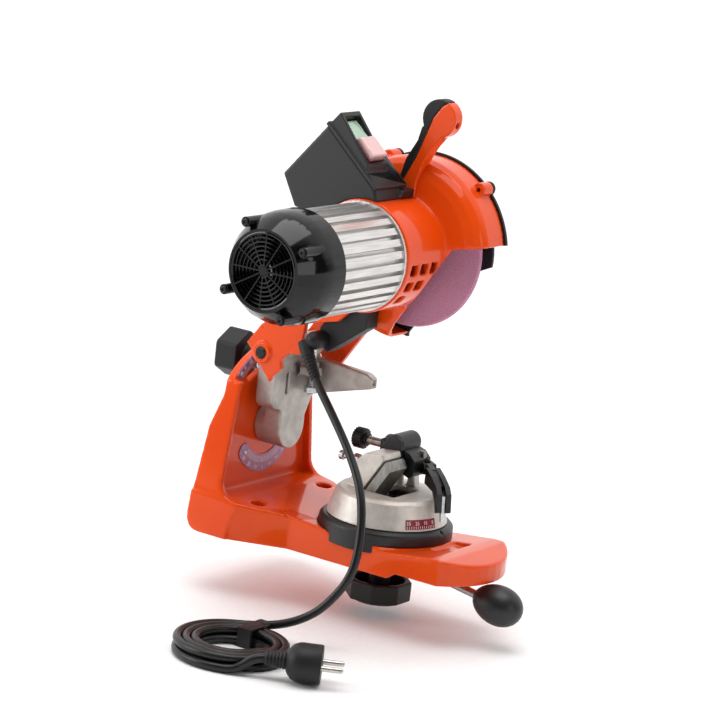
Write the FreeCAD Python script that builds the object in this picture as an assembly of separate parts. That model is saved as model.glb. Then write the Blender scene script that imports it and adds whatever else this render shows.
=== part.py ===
"""Bench grinder for saw chains, about 0.5 m tall: a cast base with a tower, a head that tilts
and swings down with motor and grinding wheel, and a swivelling chain vise.

Millimetres.  +X runs from the tower to the operator, +Y from the motor to the wheel, +Z up.
The origin lies between the two bench bolt holes, on the underside of the base.
"""
import FreeCAD
import Part

import math
import os

# ---- fits ----
RUNNING = 0.05           # radial clearance of a shaft or pin in its bore
FREE = 0.3               # gap between bodies that pass each other

# ---- base plate and arm ----
BASE_REAR = -62.0
BASE_HALF = 82.8
REAR_CORNER_R = 15.0
ARM_HALF = 57.0
ARM_NOSE = 230.0         # tip of the nose
NOSE_SHOULDER = 203.0    # where the nose arc begins
TOP_AT_TOWER = 37.5
TOP_AT_NOSE = 24.0
NOSE_TOP = 29.5
NOSE_SKIRT = 6.0
CAST_WALL = 5.5
BOLT_SPACING = 108.0     # bench bolts, along Y
BOLT_HOLE_R = 4.25
HEX_POCKET_FLATS = 14.0
GROOVES = 6

# ---- tower ----
FLANGE_FRONT = -30.0
WEB_FRONT = -38.0
WEB_BACK = -46.0
FLANGE = 7.0
TOWER_LEAN = 0.147       # half width lost per millimetre of height
TILT_Z = 98.0            # height of the tilt axis, which runs along X
TOWER_ARC_R = 76.0
SLOT_R = 58.0
SLOT_WIDTH = 9.0
SLOT_HALF_ANGLE = 35.0

# ---- tilting bracket ----
LOBE_R = 20.0
BRACKET_BACK = -27.5
BRACKET_FRONT = -8.0
BRACKET_HALF = 37.0
HINGE_X = -14.0
HINGE_Z = 176.0
BARREL_R = 11.0
BARREL_HALF = 36.0
PIN_R = 5.0
CLAMP_BOLT_R = 4.0
CLAMP_BOSS_R = 7.5
CLAMP_KNOB_FLATS = 42.0

# ---- yoke ----
STOP_SCREW_X = 3.0
STOP_SCREW_Y = 8.0
DEPTH_SCREW_R = 3.0
CHEEK_IN = 46.0
CHEEK = 6.0
YOKE_WEB = 8.0
WEB_LOW = (-5.0, 26.0)   # lower and upper edge of the web's back, from the hinge axis
WEB_HIGH = (72.0, 86.0)
SWING_DOWN = 46.0        # degrees from rest to the depth stop

# ---- spindle and wheel ----
SPINDLE_X = 104.0
SPINDLE_Z = 293.0
WHEEL_R = 72.5
WHEEL_WIDTH = 4.7
WHEEL_BORE_R = 11.1
FLANGE_DISC_R = 22.0
THREAD_R = 6.0

# ---- motor ----
MOTOR_REAR = -185.0
MOTOR_FRONT = -88.0
FINS = 28
FIN_THICK = 6.6
COVER_R = 50.5
COVER_WALL = 2.5
COVER_END = -236.0
FIN_TIP_R = COVER_R - 2.5
FIN_ROOT_R = FIN_TIP_R - 5.0
SHELL_BORE_R = FIN_ROOT_R - 3.0
GRILLE_R = COVER_R - 16.6
GRILLE = 3.0             # thickness of the grille
FAN_R = GRILLE_R - 0.9
FAN_BACK = COVER_END + 14.0
FAN_FRONT = FAN_BACK + 19.0
SCREW_CIRCLE_R = COVER_R - 5.7
BOSS_R = 4.5
BOSS_ANGLES = (31.0, 121.0, 211.0, 301.0)
COVER_SCREW_R = 1.5
SHIELD_BACK = MOTOR_REAR - 4.0
SHIELD_R = COVER_R - 2.0
REAR_BEARING_R = 16.0
FRONT_BEARING_R = 17.5
BEARING = 10.0           # width of the rear bearing
CORE_BACK = MOTOR_REAR + 20.0
CORE_FRONT = MOTOR_FRONT - 17.0
WINDING = 8.0            # reach of the windings past the core
STATOR_DEPTH = 15.0
AIR_GAP = 0.4
ROTOR_R = SHELL_BORE_R - STATOR_DEPTH - AIR_GAP

# ---- wheel guard ----
NECK_R = 51.0
NECK_WALL = 5.0
NECK_FRONT = -26.0
GUARD_R = 85.0
GUARD_WALL = 3.5
GUARD_OPEN = 18.0        # plane of the outer cover
COVER_PLATE = 3.0
EAR_ANGLES = (47.0, 118.0, 196.0)
WINDOW_HIGH = (55.0, 10.0)     # straight edge of the window, from the spindle
WINDOW_LOW = (-7.0, -83.0)
NECK_BEVEL = 0.49              # rise of the neck's oblique cut per millimetre
VENT_ROWS = ((-6.0, 3), (-24.0, 2), (-42.0, 1))
VENT_LENGTH = 11.0
VENT_PITCH = 16.0

# ---- handle and switch box ----
HANDLE_LOW = -29.0
HANDLE_HIGH = -16.0
HANDLE_HEAD = (28.4, 124.6)   # centre of the round end, from the spindle
HANDLE_HEAD_R = 17.3
HANDLE_HOLE_R = 2.8
BOX_LOW = -88.0
BOX_HIGH = -42.0
LID_START = (-49.0, 109.0)     # upper rear corner of the lid's seat, from the spindle
LID_END = (7.5, 60.7)
LID_LENGTH = math.hypot(LID_END[0] - LID_START[0], LID_END[1] - LID_START[1])
LID_WAY = ((LID_END[0] - LID_START[0]) / LID_LENGTH, (LID_END[1] - LID_START[1]) / LID_LENGTH)
BUTTON_HALF = 11.0
BUTTON_Y = -72.5
SWITCH_DEPTH = 26.0
GLAND_X = 45.0
GLAND_Z = 200.0
GLAND_R = 8.5

# ---- vise ----
SWIVEL_X = 108.0
SADDLE_R = 62.5
SADDLE_SEAT = 27.0
SADDLE_TOP = 40.0
CONE_FOOT_R = 56.5
CONE_TOP_R = 48.0
CONE_TOP = 66.0
JAW_FOOT_X = 92.0        # foot of the clamping face, at z = JAW_FOOT_Z
JAW_FOOT_Z = 63.0
JAW_LEAN = 31.7
JAW_NEAR = -24.0
JAW_FAR = 6.0
JAW_GAP = 2.2
JAW_THICK = 9.0
JAW_PIVOT = (-5.0, JAW_GAP + JAW_THICK / 2)
JAW_PIN_R = 2.5
JAW_SCREW_Y = -15.0
JAW_SCREW_Z = 90.0
SWIVEL_BOLT_R = 6.0
LEVER_LENGTH = 128.0
LEVER_DROP = 9.0         # degrees that the lever falls away from its hub
KNOB_RIM_R = 31.0
KNOB_TOP = -20.0
KNOB_LOW = -41.0
KNOB_HUB_TOP = 1.0       # stays below the sloping lever
BOLT_END = KNOB_LOW + 9.0     # lower end of the swivel bolt

# ---- chain stop ----
STOP_Y = 30.0
STOP_HALF = 8.0
STOP_SPLIT = 112.0       # plane between the body and the sliding carriage
STOP_Z = 97.5
STOP_ARM_X = 130.0
STOP_ARM_Y = 28.0
STOP_ARM_Z = 86.0
STOP_ARM_TURN = -37.2

# ---- mains cord ----
CORD_R = 3.9
CORD_ROUTE = [
    (42.3, -61.9, 188.4),
    (57.3, -68.0, 168.0),
    (87.6, -78.0, 141.4),
    (117.9, -90.0, 114.7),
    (144.1, -104.0, 86.0),
    (157.1, -118.0, 50.9),
    (159.9, -130.0, 18.2),
    (144.7, -139.0, -8.6),
    (129.0, -144.0, -24.5),
    (106.0, -152.0, -36.9),
]
COIL_X = 98.0
COIL_Y = -213.0
COIL_INNER_R = 27.0
COIL_OUTER_R = 57.0
COIL_BOTTOM = -54.0
COIL_HEIGHT = 16.0
TIE_WIDTH = 14.0
PLUG_ANGLE = 300.0       # where the cord leaves the coil for the plug
PLUG_LEAD = 32.0         # cord between coil and plug
PLUG_BODY_R = 17.5
PLUG_BODY = 30.0
PLUG_RELIEF = 22.0
PIN_PITCH = 19.0
PIN_LENGTH = 19.0

X_AXIS = FreeCAD.Vector(1, 0, 0)
Y_AXIS = FreeCAD.Vector(0, 1, 0)
Z_AXIS = FreeCAD.Vector(0, 0, 1)


# ---- small building blocks ----
def vec(x, y, z):
    return FreeCAD.Vector(x, y, z)


def box(x, y, z):
    """Block between the low and high value of each axis."""
    return Part.makeBox(x[1] - x[0], y[1] - y[0], z[1] - z[0], vec(x[0], y[0], z[0]))


def rod(start, end, radius):
    axis = end - start
    return Part.makeCylinder(radius, axis.Length, start, axis)


def tube(start, end, outer, inner):
    return rod(start, end, outer).cut(rod(start, end, inner))


def taper(start, end, start_radius, end_radius):
    axis = end - start
    return Part.makeCone(start_radius, end_radius, axis.Length, start, axis)


def prism(outline, axis, low, high):
    """Flat outline pushed along X, Y or Z between two values."""
    if axis == "x":
        corners = [vec(low, a, b) for a, b in outline]
        way = X_AXIS
    elif axis == "y":
        corners = [vec(a, low, b) for a, b in outline]
        way = Y_AXIS
    else:
        corners = [vec(a, b, low) for a, b in outline]
        way = Z_AXIS
    face = Part.Face(Part.makePolygon(corners + [corners[0]]))
    return face.extrude(way * (high - low))


def lathe(outline, origin, way, angle=360.0):
    """Turned body: the outline gives (radius, distance along the way)."""
    corners = [vec(r, 0, t) for r, t in outline]
    face = Part.Face(Part.makePolygon(corners + [corners[0]]))
    body = face.revolve(vec(0, 0, 0), Z_AXIS, angle)
    body.Placement = FreeCAD.Placement(origin, FreeCAD.Rotation(Z_AXIS, way))
    return body


def fuse(shapes):
    shapes = list(shapes)
    whole = shapes[0].multiFuse(shapes[1:]) if len(shapes) > 1 else shapes[0]
    return whole.removeSplitter()


def group(shapes):
    return Part.makeCompound(list(shapes))


def arc_points(centre, radius, first, last, count):
    """Points of an arc, angles in degrees."""
    points = []
    for step in range(count + 1):
        angle = math.radians(first + (last - first) * step / count)
        points.append((centre[0] + radius * math.cos(angle), centre[1] + radius * math.sin(angle)))
    return points


def hexagon(centre, flats):
    return arc_points(centre, flats / math.sqrt(3), 30, 330, 5)


def on_spindle(y):
    return vec(SPINDLE_X, y, SPINDLE_Z)


def spindle_rod(low, high, radius):
    return rod(on_spindle(low), on_spindle(high), radius)


def spindle_tube(low, high, outer, inner):
    return tube(on_spindle(low), on_spindle(high), outer, inner)


def around_spindle(radius, angle, y):
    """Place at an angle about the spindle, counted from +X towards +Z."""
    a = math.radians(angle)
    return vec(SPINDLE_X + radius * math.cos(a), y, SPINDLE_Z + radius * math.sin(a))


def sector(inner, outer, first, last, low, high):
    """Part of a flat ring about the tilt axis, in the plane of the tower's web."""
    centre = (0.0, TILT_Z)
    outline = arc_points(centre, outer, first, last, 24) + arc_points(centre, inner, last, first, 24)
    return prism(outline, "x", low, high)


def jaw_point(up, across):
    """Point by its way up the leaning jaw face and its distance in front of it."""
    lean = math.radians(90.0 - JAW_LEAN)
    x = JAW_FOOT_X + up * math.cos(lean) + across * math.sin(lean)
    z = JAW_FOOT_Z + up * math.sin(lean) - across * math.cos(lean)
    return (x, z)


# ---- base casting ----
def plan(inset):
    """Base plate and arm from above."""
    rear = BASE_REAR + inset
    shoulder = ARM_HALF - inset
    tip = ARM_NOSE - inset
    sagitta = tip - NOSE_SHOULDER
    radius = (shoulder ** 2 + sagitta ** 2) / (2 * sagitta)
    half_angle = math.degrees(math.asin(shoulder / radius))
    nose = arc_points((tip - radius, 0.0), radius, -half_angle, half_angle, 12)
    left = [(40.0, shoulder), (-20.0, BASE_HALF - inset), (rear, BASE_HALF - inset)]
    right = [(rear, inset - BASE_HALF), (-20.0, inset - BASE_HALF), (40.0, -shoulder)]
    return nose + left + right


def side_profile(drop, foot, nose_foot):
    """Inclined top of the base, seen from the side; the skirt of the nose ends higher."""
    return [
        (BASE_REAR - 1, foot),
        (150.0, foot),
        (158.0, nose_foot),
        (ARM_NOSE + 1, nose_foot),
        (ARM_NOSE + 1, TOP_AT_NOSE - drop),
        (205.0, NOSE_TOP - drop),
        (194.0, NOSE_TOP - drop),
        (143.0, TOP_AT_NOSE - drop),
        (68.0, 30.0 - drop),
        (FLANGE_FRONT, TOP_AT_TOWER - drop),
        (BASE_REAR - 1, TOP_AT_TOWER - drop),
    ]


def rear_corner():
    """Rounded lower corner along the rear of the base and the tower, seen from the side."""
    centre = (BASE_REAR + REAR_CORNER_R, REAR_CORNER_R)
    return arc_points(centre, REAR_CORNER_R, 180, 270, 8)


def tower_half(z):
    return BASE_HALF - TOWER_LEAN * z


def tower_outline(inset):
    """Tower from the front: leaning sides, round top about the tilt axis."""
    top_angle = 37.8
    top = arc_points((0.0, TILT_Z), TOWER_ARC_R - inset, top_angle, 180 - top_angle, 24)
    return [(inset - tower_half(0), 0.0), (tower_half(0) - inset, 0.0)] + top


def tower():
    side = [(FLANGE_FRONT, TILT_Z + TOWER_ARC_R + 1), (WEB_BACK, TILT_Z + TOWER_ARC_R + 1)]
    side += [(WEB_BACK, 131.0), (-56.0, TILT_Z + 1), (BASE_REAR, 20.0)] + rear_corner()
    foot = arc_points((FLANGE_FRONT + 16.0, TOP_AT_TOWER + 15.2), 16.0, 270, 180, 6)
    side += [(foot[0][0], 0.0)] + foot
    full_half = tower_half(0) + 1
    body = prism(tower_outline(0.0), "x", BASE_REAR, FLANGE_FRONT + 16.0)
    body = body.common(prism(side, "y", -full_half, full_half))
    inner = tower_outline(FLANGE)
    front = prism(inner, "x", WEB_FRONT, 0.0)
    plate = box((WEB_FRONT - 1, 1), (-full_half, full_half), (TOP_AT_TOWER - CAST_WALL, TOP_AT_TOWER))
    front = front.cut(plate)
    above = box((WEB_FRONT, 1), (-full_half, full_half), (144.6, TILT_Z + TOWER_ARC_R + 2))
    back = prism(inner, "x", BASE_REAR - 1, WEB_BACK)
    return body.cut(front).cut(above).cut(back)


def flanks(inset, height):
    """Everything between the leaning sides that the base shares with the tower."""
    low = tower_half(-1.0) - inset
    high = tower_half(height) - inset
    outline = [(-low, -1.0), (low, -1.0), (high, height), (-high, height)]
    return prism(outline, "x", BASE_REAR - 1, ARM_NOSE + 1)


def base_frame():
    height = TOP_AT_TOWER + 5
    block = prism(plan(0.0), "z", 0.0, height)
    block = block.common(prism(side_profile(0.0, 0.0, NOSE_SKIRT), "y", -BASE_HALF - 1, BASE_HALF + 1))
    block = block.common(flanks(0.0, height))
    edge = rear_corner()
    block = block.cut(prism(edge + [(BASE_REAR - 1, -1.0)], "y", -BASE_HALF - 1, BASE_HALF + 1))
    hollow = prism(plan(CAST_WALL), "z", -1.0, height)
    hollow = hollow.common(prism(side_profile(CAST_WALL, -1.0, -1.0), "y", -BASE_HALF, BASE_HALF))
    hollow = hollow.common(flanks(CAST_WALL, height))
    seat = rod(vec(SWIVEL_X, 0, 0), vec(SWIVEL_X, 0, SADDLE_SEAT), SADDLE_R + FREE)
    seat = seat.common(prism(plan(0.0), "z", SADDLE_SEAT - 5, SADDLE_SEAT))
    recess = rod(vec(SWIVEL_X, 0, SADDLE_SEAT), vec(SWIVEL_X, 0, height), SADDLE_R + FREE)
    shell = fuse([block.cut(hollow), seat, tower()]).cut(recess)
    bosses = [rod(vec(0, y, 0), vec(0, y, 30), 12.0) for y in (-BOLT_SPACING / 2, BOLT_SPACING / 2)]
    hub = rod(vec(SWIVEL_X, 0, 12 + FREE), vec(SWIVEL_X, 0, SADDLE_SEAT - 1), 14.0)
    shell = fuse([shell] + bosses + [hub])
    tools = [rod(vec(SWIVEL_X, 0, 0), vec(SWIVEL_X, 0, height), SWIVEL_BOLT_R + FREE)]
    for y in (-BOLT_SPACING / 2, BOLT_SPACING / 2):
        tools.append(rod(vec(0, y, -1), vec(0, y, height), BOLT_HOLE_R))
        tools.append(prism(hexagon((0.0, y), HEX_POCKET_FLATS), "z", 26.0, height))
    for index in range(GROOVES):
        y = -52.0 + 3.0 * index
        tools.append(box((18.0 + 2 * index, 42.0 + 1.5 * index), (y - 0.6, y + 0.6), (32.0, height)))
    tools.append(box((WEB_BACK - 1, WEB_FRONT + 1), (-5, 5), (10, TOP_AT_TOWER - CAST_WALL)))
    tools.append(box((171.5, 190.0), (-21.0, 21.0), (TOP_AT_NOSE, NOSE_TOP + 2)))
    tools.append(rod(vec(WEB_BACK - 1, 0, TILT_Z), vec(WEB_FRONT + 1, 0, TILT_Z), PIN_R + RUNNING))
    tools.append(arc_slot())
    tools += rivet_shanks(RUNNING)
    for cutter in tools:
        shell = shell.cut(cutter)
    return shell.removeSplitter()


def arc_slot():
    """Curved slot in the web that the clamp bolt travels in."""
    first = 90 - SLOT_HALF_ANGLE
    last = 90 + SLOT_HALF_ANGLE
    parts = [sector(SLOT_R - SLOT_WIDTH / 2, SLOT_R + SLOT_WIDTH / 2, first, last, WEB_BACK - 1, WEB_FRONT + 1)]
    for angle in (first, last):
        y, z = arc_points((0.0, TILT_Z), SLOT_R, angle, angle, 1)[0]
        parts.append(rod(vec(WEB_BACK - 1, y, z), vec(WEB_FRONT + 1, y, z), SLOT_WIDTH / 2))
    return fuse(parts)


def rivet_places():
    places = []
    for radius, angle in ((40.4, 220.0), (40.4, 320.0), (71.0, 133.0), (71.0, 101.0)):
        places.append(arc_points((0.0, TILT_Z), radius, angle, angle, 1)[0])
    return places


def rivet_shanks(clearance):
    return [rod(vec(WEB_FRONT - 5 - clearance, y, z), vec(WEB_FRONT + 1, y, z), 1.2 + clearance)
            for y, z in rivet_places()]


def tilt_scales():
    ends = []
    for angle in (220.0, 320.0):
        y, z = arc_points((0.0, TILT_Z), 40.4, angle, angle, 1)[0]
        ends.append(rod(vec(WEB_FRONT, y, z), vec(WEB_FRONT + 1, y, z), 8.3))
    lower = fuse([sector(32.1, 48.7, 220.0, 320.0, WEB_FRONT, WEB_FRONT + 1)] + ends)
    upper = sector(66.5, 75.5, 97.0, 137.0, WEB_FRONT, WEB_FRONT + 1)
    for cutter in rivet_shanks(RUNNING):
        lower = lower.cut(cutter)
        upper = upper.cut(cutter)
    return group([lower, upper])


def scale_rivets():
    rivets = []
    for shank, (y, z) in zip(rivet_shanks(0.0), rivet_places()):
        head = taper(vec(WEB_FRONT + 1, y, z), vec(WEB_FRONT + 2, y, z), 2.3, 1.5)
        rivets.append(fuse([shank, head]))
    return group(rivets)


def tilt_pivot_bolt():
    head = prism(hexagon((0.0, TILT_Z), 17.0), "x", WEB_BACK - 8.0, WEB_BACK - 1.6)
    washer = rod(vec(WEB_BACK - 1.6, 0, TILT_Z), vec(WEB_BACK, 0, TILT_Z), 10.5)
    shank = rod(vec(WEB_BACK, 0, TILT_Z), vec(-18.0, 0, TILT_Z), PIN_R)
    return fuse([head, washer, shank])


# ---- tilting bracket and its hardware ----
def stop_screw_top():
    """Height at which the yoke's web meets the depth screw when the head is down."""
    rise = math.atan2(WEB_HIGH[1] - WEB_LOW[1], WEB_HIGH[0] - WEB_LOW[0])
    underside = WEB_LOW[1] * math.cos(rise) - WEB_LOW[0] * math.sin(rise) - YOKE_WEB
    slope = rise - math.radians(SWING_DOWN)
    reach = STOP_SCREW_X - HINGE_X
    rim = DEPTH_SCREW_R * abs(math.tan(slope))
    return HINGE_Z + underside / math.cos(slope) + reach * math.tan(slope) - rim - FREE


def tilt_bracket():
    back = WEB_FRONT + 0.4
    lobe = rod(vec(back, 0, TILT_Z), vec(BRACKET_FRONT, 0, TILT_Z), LOBE_R)
    rib = box((back, BRACKET_BACK + 1), (-CLAMP_BOSS_R, CLAMP_BOSS_R), (TILT_Z, TILT_Z + SLOT_R))
    clamp = rod(vec(back, 0, TILT_Z + SLOT_R), vec(BRACKET_BACK + 1, 0, TILT_Z + SLOT_R), CLAMP_BOSS_R)
    front = [(-LOBE_R, TILT_Z)] + arc_points((-LOBE_R - 7.0, 112.0), 7.0, 0, 90, 6)
    front += arc_points((10.0 - BRACKET_HALF, 129.0), 10.0, 270, 180, 6)
    front += [(-BRACKET_HALF, 164.0), (-30.0, 171.0), (30.0, 171.0), (BRACKET_HALF, 164.0)]
    front += [(BRACKET_HALF, 146.0), (30.0, 128.0), (LOBE_R, 108.0), (LOBE_R, TILT_Z)]
    body = prism(front, "x", BRACKET_BACK, BRACKET_FRONT)
    barrel = rod(vec(HINGE_X, -BARREL_HALF, HINGE_Z), vec(HINGE_X, BARREL_HALF, HINGE_Z), BARREL_R)
    arm_side = [(-10.0, 126.0), (2.0, 131.0), (62.0, 147.6), (62.0, 157.0), (55.0, 161.0), (-10.0, 165.0)]
    arm = prism(arm_side, "y", 22.0, 31.0)
    lug = box((BRACKET_FRONT - 2, STOP_SCREW_X + 7), (STOP_SCREW_Y - 7, STOP_SCREW_Y + 7), (150.0, 158.0))
    body = fuse([lobe, rib, clamp, body, barrel, arm, lug])
    tools = [
        rod(vec(back - 1, 0, TILT_Z), vec(-18.0 + FREE, 0, TILT_Z), PIN_R + RUNNING),
        rod(vec(back - 1, 0, TILT_Z + SLOT_R), vec(-14.0, 0, TILT_Z + SLOT_R), CLAMP_BOLT_R + RUNNING),
        prism(hexagon((0.0, TILT_Z + SLOT_R), 13.2), "x", -15.0, BRACKET_FRONT + 1),
        rod(vec(HINGE_X, -BARREL_HALF - 1, HINGE_Z), vec(HINGE_X, BARREL_HALF + 1, HINGE_Z), PIN_R + RUNNING),
        rod(vec(STOP_SCREW_X, STOP_SCREW_Y, 149), vec(STOP_SCREW_X, STOP_SCREW_Y, 159), DEPTH_SCREW_R + RUNNING),
        box((BRACKET_FRONT - 5, BRACKET_FRONT + 1), (-17.0, -13.0), (133.0, 153.0)),
        box((58.0, 63.0), (24.0, 29.0), (150.0, 155.5)),
    ]
    for cutter in tools:
        body = body.cut(cutter)
    return body


def tilt_clamp_bolt():
    z = TILT_Z + SLOT_R
    head = prism(hexagon((0.0, z), 13.0), "x", -15.0, -9.0)
    return fuse([head, rod(vec(-72.0, 0, z), vec(-15.0, 0, z), CLAMP_BOLT_R)])


def tilt_clamp_washer():
    z = TILT_Z + SLOT_R
    back = WEB_BACK - FREE
    return tube(vec(back - 2.0, 0, z), vec(back, 0, z), 11.0, CLAMP_BOLT_R + RUNNING)


def lobed(centre, radius, lobes, depth):
    """Grip outline: a circle with gentle waves."""
    points = []
    count = lobes * 8
    for step in range(count):
        angle = 2 * math.pi * step / count
        r = radius - depth + depth * math.cos(lobes * angle)
        points.append((centre[0] + r * math.cos(angle), centre[1] + r * math.sin(angle)))
    return points


def tilt_lock_knob():
    z = TILT_Z + SLOT_R
    front = WEB_BACK - FREE - 2.0 - FREE
    hub = rod(vec(-67.0, 0, z), vec(front, 0, z), 11.0)
    grip = prism(hexagon((0.0, z), CLAMP_KNOB_FLATS), "x", -90.0, -66.0)
    corners = [edge for edge in grip.Edges if abs(edge.tangentAt(edge.FirstParameter).x) > 0.99]
    grip = grip.makeFillet(CLAMP_KNOB_FLATS / 9, corners)
    cap = taper(vec(-90.0, 0, z), vec(-92.5, 0, z), 17.0, 14.0)
    bore = rod(vec(-73.0, 0, z), vec(front + 1, 0, z), CLAMP_BOLT_R + RUNNING)
    return fuse([hub, grip, cap]).cut(bore)


def hinge_pin():
    reach = CHEEK_IN + CHEEK + 3.5
    return rod(vec(HINGE_X, -reach, HINGE_Z), vec(HINGE_X, reach, HINGE_Z), PIN_R)


def hinge_pin_caps():
    reach = CHEEK_IN + CHEEK + 3.5
    caps = []
    for side in (-1, 1):
        start = vec(HINGE_X, side * reach, HINGE_Z)
        caps.append(taper(start, start + Y_AXIS * side * 1.6, PIN_R + 0.8, PIN_R - 0.6))
    return group(caps)


def return_springs():
    coils = []
    for side in (-1, 1):
        low = vec(HINGE_X, side * BARREL_HALF, HINGE_Z)
        high = vec(HINGE_X, side * (CHEEK_IN - FREE), HINGE_Z)
        coils.append(tube(low, high, 9.2, PIN_R + RUNNING))
    return group(coils)


def depth_stop_screw():
    head = prism(hexagon((STOP_SCREW_X, STOP_SCREW_Y), 10.0), "z", 134.0, 139.0)
    top = stop_screw_top()
    shank = rod(vec(STOP_SCREW_X, STOP_SCREW_Y, 139), vec(STOP_SCREW_X, STOP_SCREW_Y, top), DEPTH_SCREW_R)
    return fuse([head, shank])


def depth_stop_nut():
    nut = prism(hexagon((STOP_SCREW_X, STOP_SCREW_Y), 10.0), "z", 158.0, 163.0)
    hole = rod(vec(STOP_SCREW_X, STOP_SCREW_Y, 157), vec(STOP_SCREW_X, STOP_SCREW_Y, 164), DEPTH_SCREW_R + RUNNING)
    return nut.cut(hole)


def depth_stop_spring():
    low = vec(STOP_SCREW_X, STOP_SCREW_Y, 139)
    return tube(low, low + Z_AXIS * 11, 4.8, DEPTH_SCREW_R + RUNNING)


# ---- yoke that carries the head ----
def cheek_outline(near):
    """Side plate of the yoke, given from the hinge axis."""
    tail = [(-19.0, 6.0), WEB_LOW, WEB_HIGH, (98.0, 64.0), (78.0, 45.0), (44.0, 36.0)]
    if near:
        tail += [(41.0, 6.0), (27.4, 4.0), (20.0, -4.3), (22.0, -11.5), (13.0, -20.0), (10.2, -26.4)]
    else:
        tail += [(47.0, 18.5), (20.0, -22.0), (10.2, -26.4)]
    return [(HINGE_X + x, HINGE_Z + z) for x, z in tail]


def neck_and_guard_space():
    """Room taken by the round neck and the guard, with clearance."""
    neck = spindle_rod(MOTOR_FRONT - 4, NECK_FRONT, NECK_R + RUNNING)
    motor = spindle_rod(MOTOR_REAR, MOTOR_FRONT, FIN_TIP_R + 3.0)
    guard = spindle_rod(NECK_FRONT - 1, GUARD_OPEN + COVER_PLATE + 1, GUARD_R + 2.3)
    return fuse([neck, guard, motor])


def head_yoke():
    solids = []
    for side in (-1, 1):
        low, high = sorted((side * CHEEK_IN, side * (CHEEK_IN + CHEEK)))
        solids.append(prism(cheek_outline(side < 0), "y", low, high))
        start = vec(HINGE_X, side * CHEEK_IN, HINGE_Z)
        solids.append(rod(start, start + Y_AXIS * side * CHEEK, 12.5))
        solids.append(rod(start, start + Y_AXIS * side * (CHEEK + 3.0), 9.5))
    slope = math.atan2(WEB_HIGH[1] - WEB_LOW[1], WEB_HIGH[0] - WEB_LOW[0])
    down = (YOKE_WEB * math.sin(slope), -YOKE_WEB * math.cos(slope))
    low, high = [(HINGE_X + x, HINGE_Z + z) for x, z in (WEB_LOW, WEB_HIGH)]
    web = [low, high, (high[0] + down[0], high[1] + down[1]), (low[0] + down[0], low[1] + down[1])]
    solids.append(prism(web, "y", -CHEEK_IN - 1, CHEEK_IN + 1))
    body = fuse(solids).cut(neck_and_guard_space())
    reach = CHEEK_IN + CHEEK + 4
    body = body.cut(rod(vec(HINGE_X, -reach, HINGE_Z), vec(HINGE_X, reach, HINGE_Z), PIN_R + RUNNING))
    for x, z in ((-15.0, 7.0), (-2.0, 23.0), (10.0, -20.0)):
        place = vec(HINGE_X + x, -reach, HINGE_Z + z)
        body = body.cut(rod(place, place + Y_AXIS * 2 * reach, 1.0))
    return body


# ---- motor ----
def fin_outline():
    """Star of cooling fins."""
    points = []
    half_root = math.degrees(FIN_THICK / 2 / FIN_ROOT_R)
    half_tip = math.degrees(FIN_THICK / 2 / FIN_TIP_R)
    for index in range(FINS):
        middle = 360.0 * index / FINS
        corners = [(FIN_ROOT_R, -half_root), (FIN_TIP_R, -half_tip)]
        corners += [(FIN_TIP_R, half_tip), (FIN_ROOT_R, half_root)]
        for radius, turn in corners:
            angle = math.radians(middle + turn)
            points.append((SPINDLE_X + radius * math.cos(angle), SPINDLE_Z + radius * math.sin(angle)))
    return points


def motor_shell():
    fins = prism(fin_outline(), "y", MOTOR_REAR, MOTOR_FRONT - 3.0)
    ring = spindle_rod(MOTOR_FRONT - 3.0, MOTOR_FRONT, FIN_TIP_R + 1.5)
    body = fuse([fins, ring]).cut(spindle_rod(MOTOR_REAR - 1, MOTOR_FRONT + 1, SHELL_BORE_R))
    for angle in BOSS_ANGLES:
        body = body.cut(cover_screw_line(angle, MOTOR_REAR - 1, MOTOR_REAR + 12, COVER_SCREW_R + 0.1))
    return body


def cover_screw_line(angle, low, high, radius):
    """Rod on the line of one of the fan cover's long screws."""
    return rod(around_spindle(SCREW_CIRCLE_R, angle, low), around_spindle(SCREW_CIRCLE_R, angle, high), radius)


def rear_shield():
    plate = spindle_tube(SHIELD_BACK, MOTOR_REAR, SHIELD_R, THREAD_R + 1.0)
    housing = spindle_tube(MOTOR_REAR - 0.5, MOTOR_REAR + 11.0, REAR_BEARING_R + 3, REAR_BEARING_R + RUNNING)
    body = fuse([plate, housing])
    for angle in BOSS_ANGLES:
        body = body.cut(cover_screw_line(angle, SHIELD_BACK - 1, MOTOR_REAR + 1, COVER_SCREW_R + RUNNING))
    air_circle = (REAR_BEARING_R + SHELL_BORE_R) / 2 + 2.0
    for index in range(6):
        body = body.cut(rod(around_spindle(air_circle, 60 * index, SHIELD_BACK - 1),
                            around_spindle(air_circle, 60 * index, MOTOR_REAR + 1), 6.0))
    return body


def fan_cover():
    end = COVER_END
    outer = [(COVER_R, MOTOR_REAR), (COVER_R - 0.5, end + 32)]
    outer += [(COVER_R - 2.2, end + 22), (COVER_R - 6, end + 13)]
    outer += [(COVER_R - 11, end + 5), (COVER_R - 14.5, end)]
    inner = [(GRILLE_R + RUNNING, end), (GRILLE_R + RUNNING, end + GRILLE), (COVER_R - 14, end + 5)]
    inner += [(COVER_R - 9, end + 14), (COVER_R - 4.4, end + 23.5), (COVER_R - COVER_WALL - 0.5, end + 33)]
    inner += [(COVER_R - COVER_WALL, SHIELD_BACK), (SHIELD_R + RUNNING, SHIELD_BACK)]
    inner += [(SHIELD_R + RUNNING, MOTOR_REAR)]
    shell = lathe(outer + inner, on_spindle(0.0), Y_AXIS)
    bosses = [cover_screw_line(angle, COVER_END, SHIELD_BACK, BOSS_R) for angle in BOSS_ANGLES]
    body = fuse([shell] + bosses)
    for angle in BOSS_ANGLES:
        body = body.cut(cover_screw_line(angle, COVER_END - 1, SHIELD_BACK + 1, COVER_SCREW_R + RUNNING))
    return body


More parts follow.
